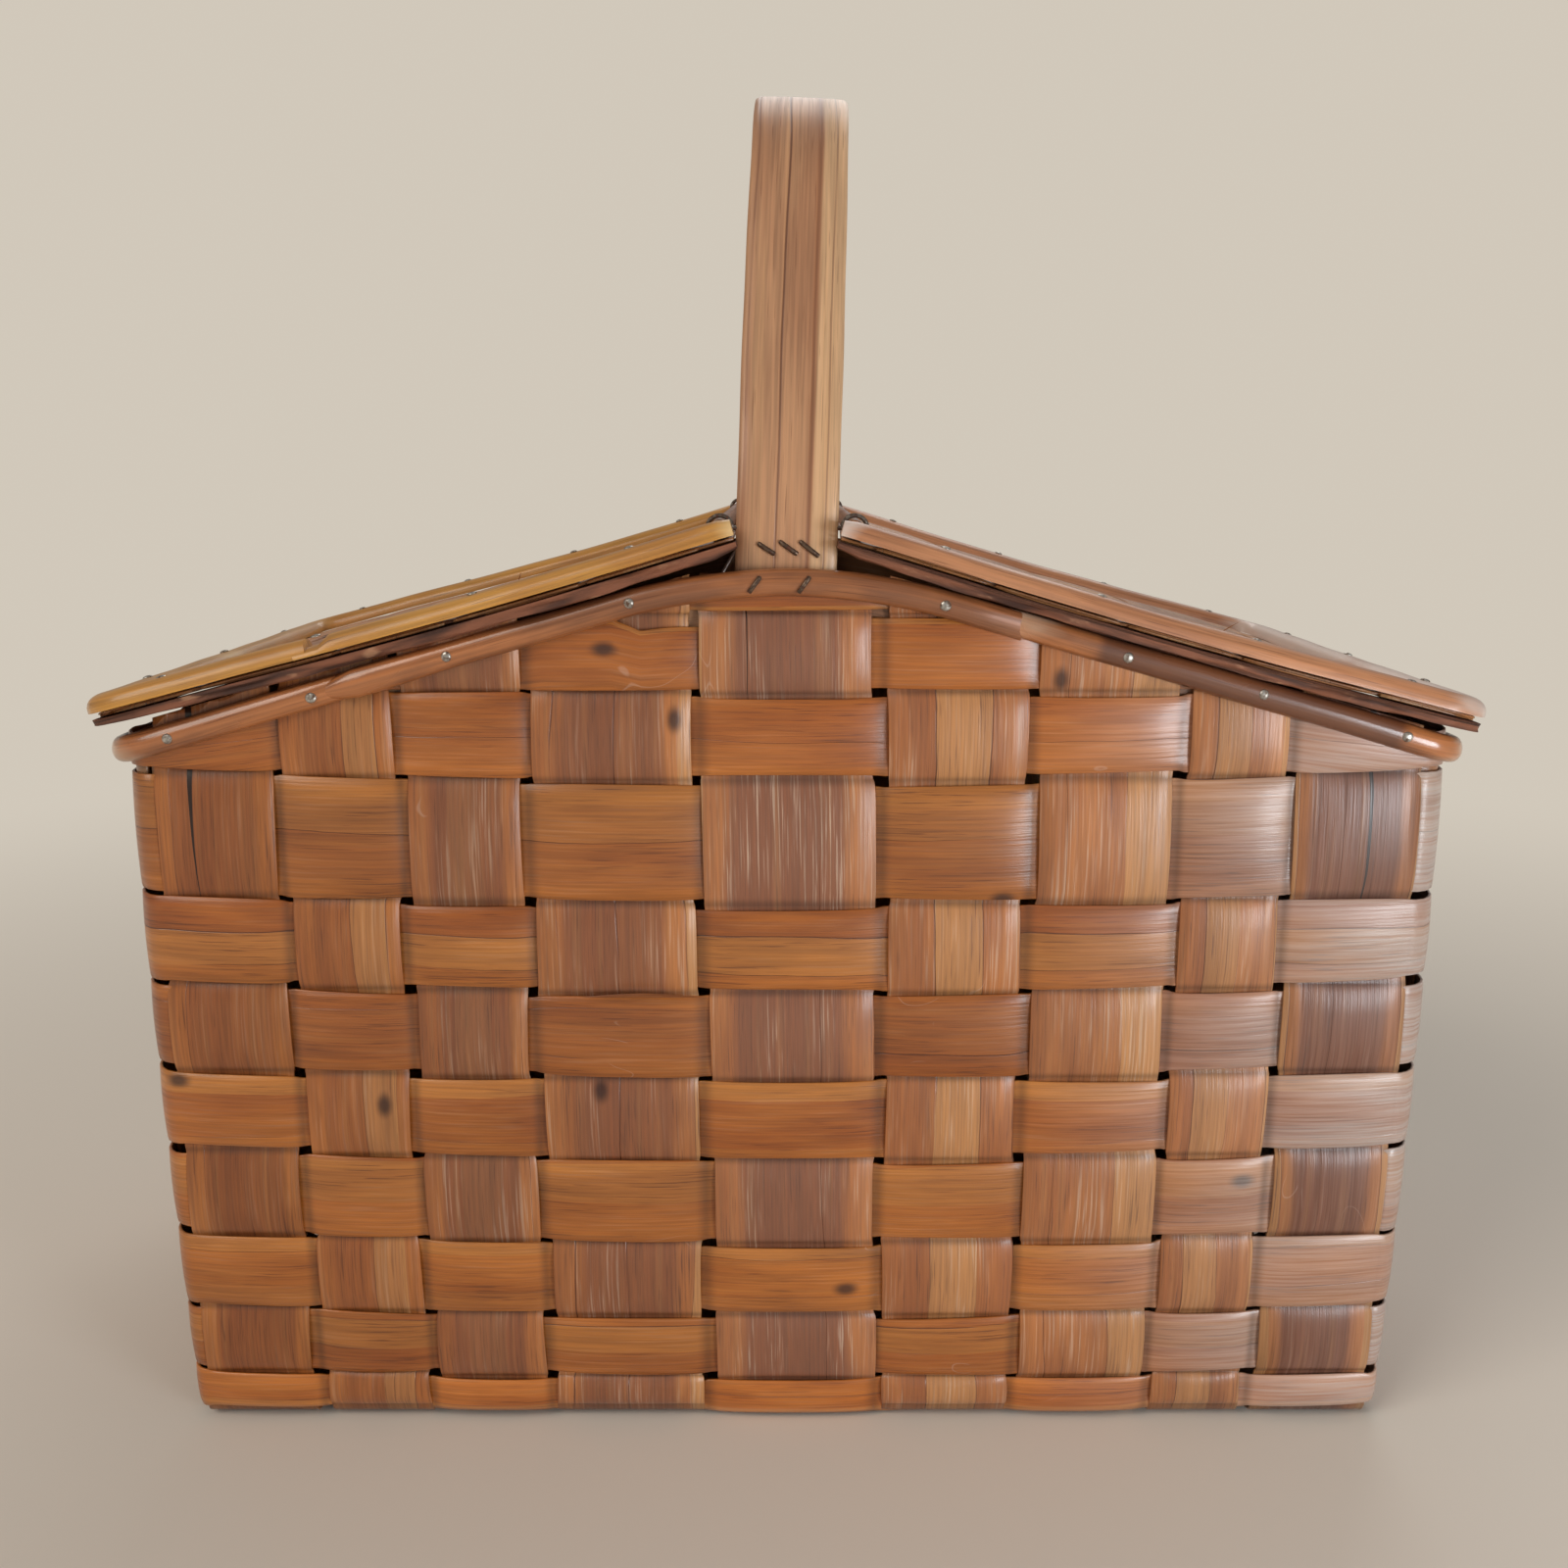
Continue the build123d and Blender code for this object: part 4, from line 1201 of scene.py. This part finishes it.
def lay_mat(side, lid_name, kind, strips, crossed, first_number, first_sign):
    """Weave one way of a lid's splints over and under the ones that they cross."""
    lengthways = kind == "long"
    ends = (crossed[0][0] - MAT_END, crossed[-1][1] + MAT_END)
    for n, (start, end) in enumerate(strips):
        way = crossings(crossed, *ends, first_sign * (-1) ** n, MAT_RISE, MAT_DROP)
        look = ((n * 0.41) % 0.7, 0.02, 0.0)
        if lengthways:
            # The inner end runs on under the rail, a little less far on the outermost two. Its low
            # nearness paints shade there.
            way.insert(0, (-3.2 * MM if n in (0, len(strips) - 1) else -4.4 * MM, 0, 0.2))
            look = ((n * 0.37 + 0.2) % 0.8, 0.04, 0.0)
        number = first_number + 20 * side + n
        stations = []
        for along, offset, near in way:

            def point(v, wander):
                across = (start + end) / 2 + v * (end - start) / 2 + wander
                reach, y = (along, across) if lengthways else (across, along)
                return mat_spot(side, reach, y, cupped(offset, v))

            stations.append((points_across(point, number, along, 0.5 * MM), near))
        name = f"{lid_name}_lid_{kind}"
        strip = lay_splint(f"{name}_{n + 1}", stations, number, lid_wood, look, MAT_SPLINT)
        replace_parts(strip, f"{name}_splints")
        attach(strip, f"{lid_name}_lid")


for side, lid_name in LIDS:
    lay_mat(side, lid_name, "long", mat_long, mat_cross, 140, 1)
    lay_mat(side, lid_name, "cross", mat_cross, mat_long, 150, -1)


# Top trims: a half-round reed bent round the three free edges of each lid and nailed down on the
# mat. The left one is golden and in two lengths. The right one is paler and white at the tip, where it
# is worn and a highlight is painted.
TRIM_START = -3.8 * MM  # just clear of the hoop's leg
EYE_CLEAR = 7 * MM  # up to here the trim is narrow, to pass in front of the hinge wire
TRIM_CORNER = 10 * MM
TRIM_STEP = 4 * MM
TRIM_T = 5.3 * MM
LEFT_JOINT = 128 * MM


def lid_edge(step):
    """Reach and y along the middle of a lid's trim, round its three free edges."""
    far_reach = LID_REACH - TRIM_W / 2
    half_y = LID_HALF_Y - TRIM_W / 2
    corners = [(TRIM_START, -half_y, 0), (far_reach, -half_y, 0), (far_reach, half_y, 0)]
    corners.append((TRIM_START, half_y, 0))
    return rounded(corners, (TRIM_CORNER, TRIM_CORNER), step)


trim_woods = {
    -1: rod_wood(
        "left_trim_wood", ((200, 144, 68), (168, 108, 50), (226, 190, 134)), 0.38, 0.3, 0.4
    ),
    1: rod_wood(
        "right_trim_wood", ((188, 130, 92), (152, 98, 66), (216, 196, 184)), 0.4, 0.25, 0.35
    ),
}
for side, lid_name in LIDS:
    edge = lid_edge(TRIM_STEP)
    pieces = [edge]
    if side < 0:
        joint = next(n for n, spot in enumerate(edge) if spot.x > LEFT_JOINT)
        pieces = [edge[: joint + 2], edge[joint:]]
    slope = lid_up(side)
    for piece, spots in enumerate(pieces):
        path = []
        for n, spot in enumerate(spots):
            wander = 0.3 * MM * ragged(160 + side, n * TRIM_STEP)
            path.append(lid_spot(side, spot.x, spot.y, MAT_TOP + wander * 0.4))
        rings = []
        wear_and_highlight = []
        for n, along in enumerate(turns(path)):
            lapped_over = side < 0 and piece == 0 and n > len(path) - 4
            thick = TRIM_T * (1 + 0.05 * ragged(161 + side, n * TRIM_STEP))
            thick *= 0.55 if lapped_over else 1
            wide = TRIM_W * (0.94 + 0.05 * ragged(163 + side, n * TRIM_STEP))
            middle = path[n]
            from_start = spots[n].x - TRIM_START
            if spots[n].x < EYE_CLEAR:
                at_start = max(0.0, 1 - from_start / (2 * MM))
                thick *= 1 - 0.12 * at_start
                wide *= 0.72 - 0.08 * at_start
                middle = middle + Vector((0, math.copysign(0.13 * TRIM_W, spots[n].y), 0))
            rings.append(half_round(middle, slope, along, thick, wide, 0.75))
            # The tip is painted pale for wear and a highlight, whiter on the right lid. The inner end
            # is pale from wear.
            tip = max(0.0, 1 - (LID_REACH - spots[n].x) / (34 * MM))
            inner = max(0.0, 1 - from_start / (12 * MM))
            wear_and_highlight.append(max((0.9 if side > 0 else 0.5) * tip, 0.7 * inner))
        number = 165 + side + piece * 3
        rod = lay_rod(f"{lid_name}_lid_trim_{piece + 1}", rings, number, trim_woods[side], wear_and_highlight)
        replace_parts(rod, f"{lid_name}_lid_top_trim")
        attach(rod, f"{lid_name}_lid")


# Under strips: a flat strip of rough, barky wood under the mat, round the same three edges. The
# trim's nails hold it, and its lower edge is ragged and split.
STRIP_T = 3.4 * MM
STRIP_TOP = -4.95 * MM
STRIP_STEP = 2.5 * MM
STRIP_HALF = TRIM_W / 2 - 0.9 * MM
# The strip's section: places across it, and down from its top, as shares of its half width and depth.
SECTION = (
    (-1, 0.02), (-0.4, 0), (0.4, 0), (1, 0.02), (1.03, 0.3), (0.98, 0.6), (1.02, 0.86),
    (0.9, 1), (0.3, 1), (-0.3, 1), (-0.9, 1), (-1.02, 0.86), (-0.98, 0.6), (-1.03, 0.3),
)


def bark_wood(name, base, dark, pale):
    """Rough split wood with bark on it, torn along the grain."""
    wood, shader = painted(name)
    grain = mark("grain")
    torn = stretched(grain, (40, 420, 40), 4)
    flake = stretched(grain, (90, 260, 71), 3)
    colour = mix(fade(torn, 0.32, 0.66), dark, base)
    colour = mix(fade(flake, 0.60, 0.72, 0.0, 0.6), colour, pale)
    dress(shader, colour, times(torn, 1.5, flake), 0.9, 0.0007, {"Roughness": 0.72})
    return wood


strip_wood = bark_wood("under_strip_wood", srgb(132, 82, 58), srgb(66, 40, 30), srgb(186, 138, 104))
for side, lid_name in LIDS:
    spots = lid_edge(STRIP_STEP)
    path = [lid_spot(side, spot.x, spot.y, STRIP_TOP) for spot in spots]
    slope = lid_up(side)
    rings = []
    for n, along in enumerate(turns(path)):
        up = slope.cross(along).normalized()
        end_taper = min(1.0, 0.55 + 0.15 * min(n, len(path) - 1 - n))
        tip = max(0.0, 1 - (LID_REACH - spots[n].x) / (70 * MM)) * (1 if side < 0 else 0.35)
        deep = STRIP_T * end_taper * (1 - 0.42 * tip)
        ring = []
        for across, down in SECTION:
            seed = 170 + side + across * 3 + down * 5
            tear = 0.45 * MM * ragged(seed, n * STRIP_STEP * 2.6)
            out = across * (STRIP_HALF + tear * abs(across))
            ring.append(path[n] + up * out - slope * (deep * down * (1 + 350 * tear * (down > 0.5))))
        rings.append(ring)
    strip = lay_rod(f"{lid_name}_lid_under_strip_bark", rings, 172 + side, strip_wood)
    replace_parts(strip, f"{lid_name}_lid_under_strip")
    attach(strip, f"{lid_name}_lid")


# Splinters: a sliver torn from the sixth weaver's top edge in front, and two fibres that stand up
# from the lids.
def splinter(name, points, thick, wood, body):
    """A fine fibre that tapers to both ends."""
    path = rounded(points, [30 * MM] * (len(points) - 2), 3 * MM)
    middle = (len(path) - 1) / 2
    places = {tuple(place): n for n, place in enumerate(path)}

    def radius(place):
        return thick * (1.02 - (abs(places[tuple(place)] - middle) / middle) ** 2)

    fibre = lay_rod(name, round_rod(path, radius, 6), 190, wood)
    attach(fibre, body)


FIBRE_R = 0.22 * MM
row_top = rows[5][1] + sag_at(0.04)
front = -(wall_y(-0.04, row_top) + OVER + 0.5 * MM)
sliver = [
    (-66 * MM, front, row_top + 0.6 * MM),
    (-46 * MM, front - 1.2 * MM, row_top + 1.6 * MM),
    (-26 * MM, front, row_top + 0.4 * MM),
]
splinter("weaver_6_sliver", sliver, 0.75 * MM, weaver_wood, "basket")
stick_out = [lid_spot(1, 122 * MM, -88 * MM, MAT_TOP), lid_spot(1, 130 * MM, -90 * MM, 6 * MM)]
splinter("right_lid_splinter", stick_out, FIBRE_R, lid_wood, "right_lid")
stick_out = [lid_spot(-1, 96 * MM, 60 * MM, MAT_TOP), lid_spot(-1, 92 * MM, 56 * MM, 1.5 * MM)]
splinter("left_lid_splinter", stick_out, FIBRE_R, lid_wood, "left_lid")


# Nails: small round-headed iron nails along the rim and round the lids. Five at the middle of each
# long side have lost their heads and are bent over instead.
nail_iron = old_metal("nail_iron", (196, 192, 184), (140, 130, 120), (96, 70, 54), 0.85)
bent_iron = old_metal("bent_nail_iron", (110, 90, 74), (70, 54, 44), (88, 52, 34), 0.6)
HEAD_R = 1.65 * MM
HEAD_T = 0.7 * MM
HEAD_Z = MAT_TOP + TRIM_T - 0.1 * MM  # how high on a lid its nail heads lie
RIM_HEAD = REED_BACK + REED_T - 0.15 * MM  # how far out on the rim its heads lie


def nail_head(name, place, facing, turn):
    """A domed nail head, a little uneven, that lies on a surface."""
    bpy.ops.object.select_all(action="DESELECT")
    bpy.ops.mesh.primitive_uv_sphere_add(segments=14, ring_count=8, radius=HEAD_R)
    head = bpy.context.object
    head.name = name
    rotation = facing.to_track_quat("Z", "Y").to_matrix()
    for vertex in head.data.vertices:
        spot = vertex.co.copy()
        spot.z = max(spot.z, -0.3 * MM) * HEAD_T / HEAD_R
        spot.x *= 1 + 0.08 * math.sin(turn)
        vertex.co = rotation @ spot + place
    bpy.ops.object.shade_smooth()
    head.data.materials.append(nail_iron)
    return head


def add_nails(node_name, body, places):
    """Nail heads at places, each a point and the way that it faces."""
    for n, (place, facing) in enumerate(places):
        head = nail_head(f"{node_name}_head_{n + 1}", place, facing, n * 1.9)
        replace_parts(head, node_name)
        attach(head, body)


rim_places = []
for end in (-1, 1):
    for x in (-191, -146, -104, -48, 48, 104, 146, 191):
        z = rim_z(x * MM) + 0.5 * MM * math.sin(x)
        rim_places.append((Vector((x * MM, end * (RIM_Y + RIM_HEAD), z)), Vector((0, end, 0))))
    for y in (-70, 0, 70):
        x = end * (RIM_X + RIM_HEAD)
        rim_places.append((Vector((x, y * MM, rim_z(x))), Vector((end, 0, 0))))
add_nails("rim_nails", "basket", rim_places)

for side, lid_name in LIDS:
    lid_places = []
    for n in range(4):
        for end in (-1, 1):
            y = end * (LID_HALF_Y - TRIM_W / 2)
            lid_places.append((lid_spot(side, (28 + 50 * n) * MM, y, HEAD_Z), lid_up(side)))
    for y in (-75, 0, 75):
        place = lid_spot(side, LID_REACH - TRIM_W / 2, y * MM, HEAD_Z)
        lid_places.append((place, lid_up(side)))
    add_nails(f"{lid_name}_lid_nails", f"{lid_name}_lid", lid_places)


def bent_nail(name, place, lean, length, facing):
    """A headless nail that comes out of the wood and is hammered flat against it."""
    along = Vector((math.sin(lean), 0, math.cos(lean)))
    path = [place - facing * 2 * MM, place + facing * 0.4 * MM]
    path += [place + facing * 0.9 * MM - along * (length * n / 4) for n in range(1, 5)]
    path[-1] -= facing * 0.5 * MM
    nail = lay_rod(name, round_rod(path, lambda spot: WIRE_R, 8), 181, bent_iron)
    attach(nail, "basket")
    return nail


for end, face in ((-1, "front"), (1, "back")):
    facing = Vector((0, end, 0))
    for n, (x, lean) in enumerate(((-8.5, -1.0), (-2.0, -0.95), (4.2, -0.9))):
        z = 299.2 * MM + (n > 0) * 0.6 * MM
        place = Vector((x * MM, end * (LEG_Y + HANDLE_T / 2), z))
        nail = bent_nail(f"leg_nail_{face}_{n + 1}", place, lean, (5.4 + n * 0.7) * MM, facing)
        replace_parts(nail, "leg_nails")
    for n, x in enumerate((-8.5, 6.5)):
        y = end * (RIM_Y + REED_BACK + REED_T * 0.86)
        place = Vector((x * MM, y, RIM_PEAK + 1.8 * MM))
        bent_nail(f"rim_bent_nail_{face}_{n + 1}", place, 0.62, 5.2 * MM, facing)
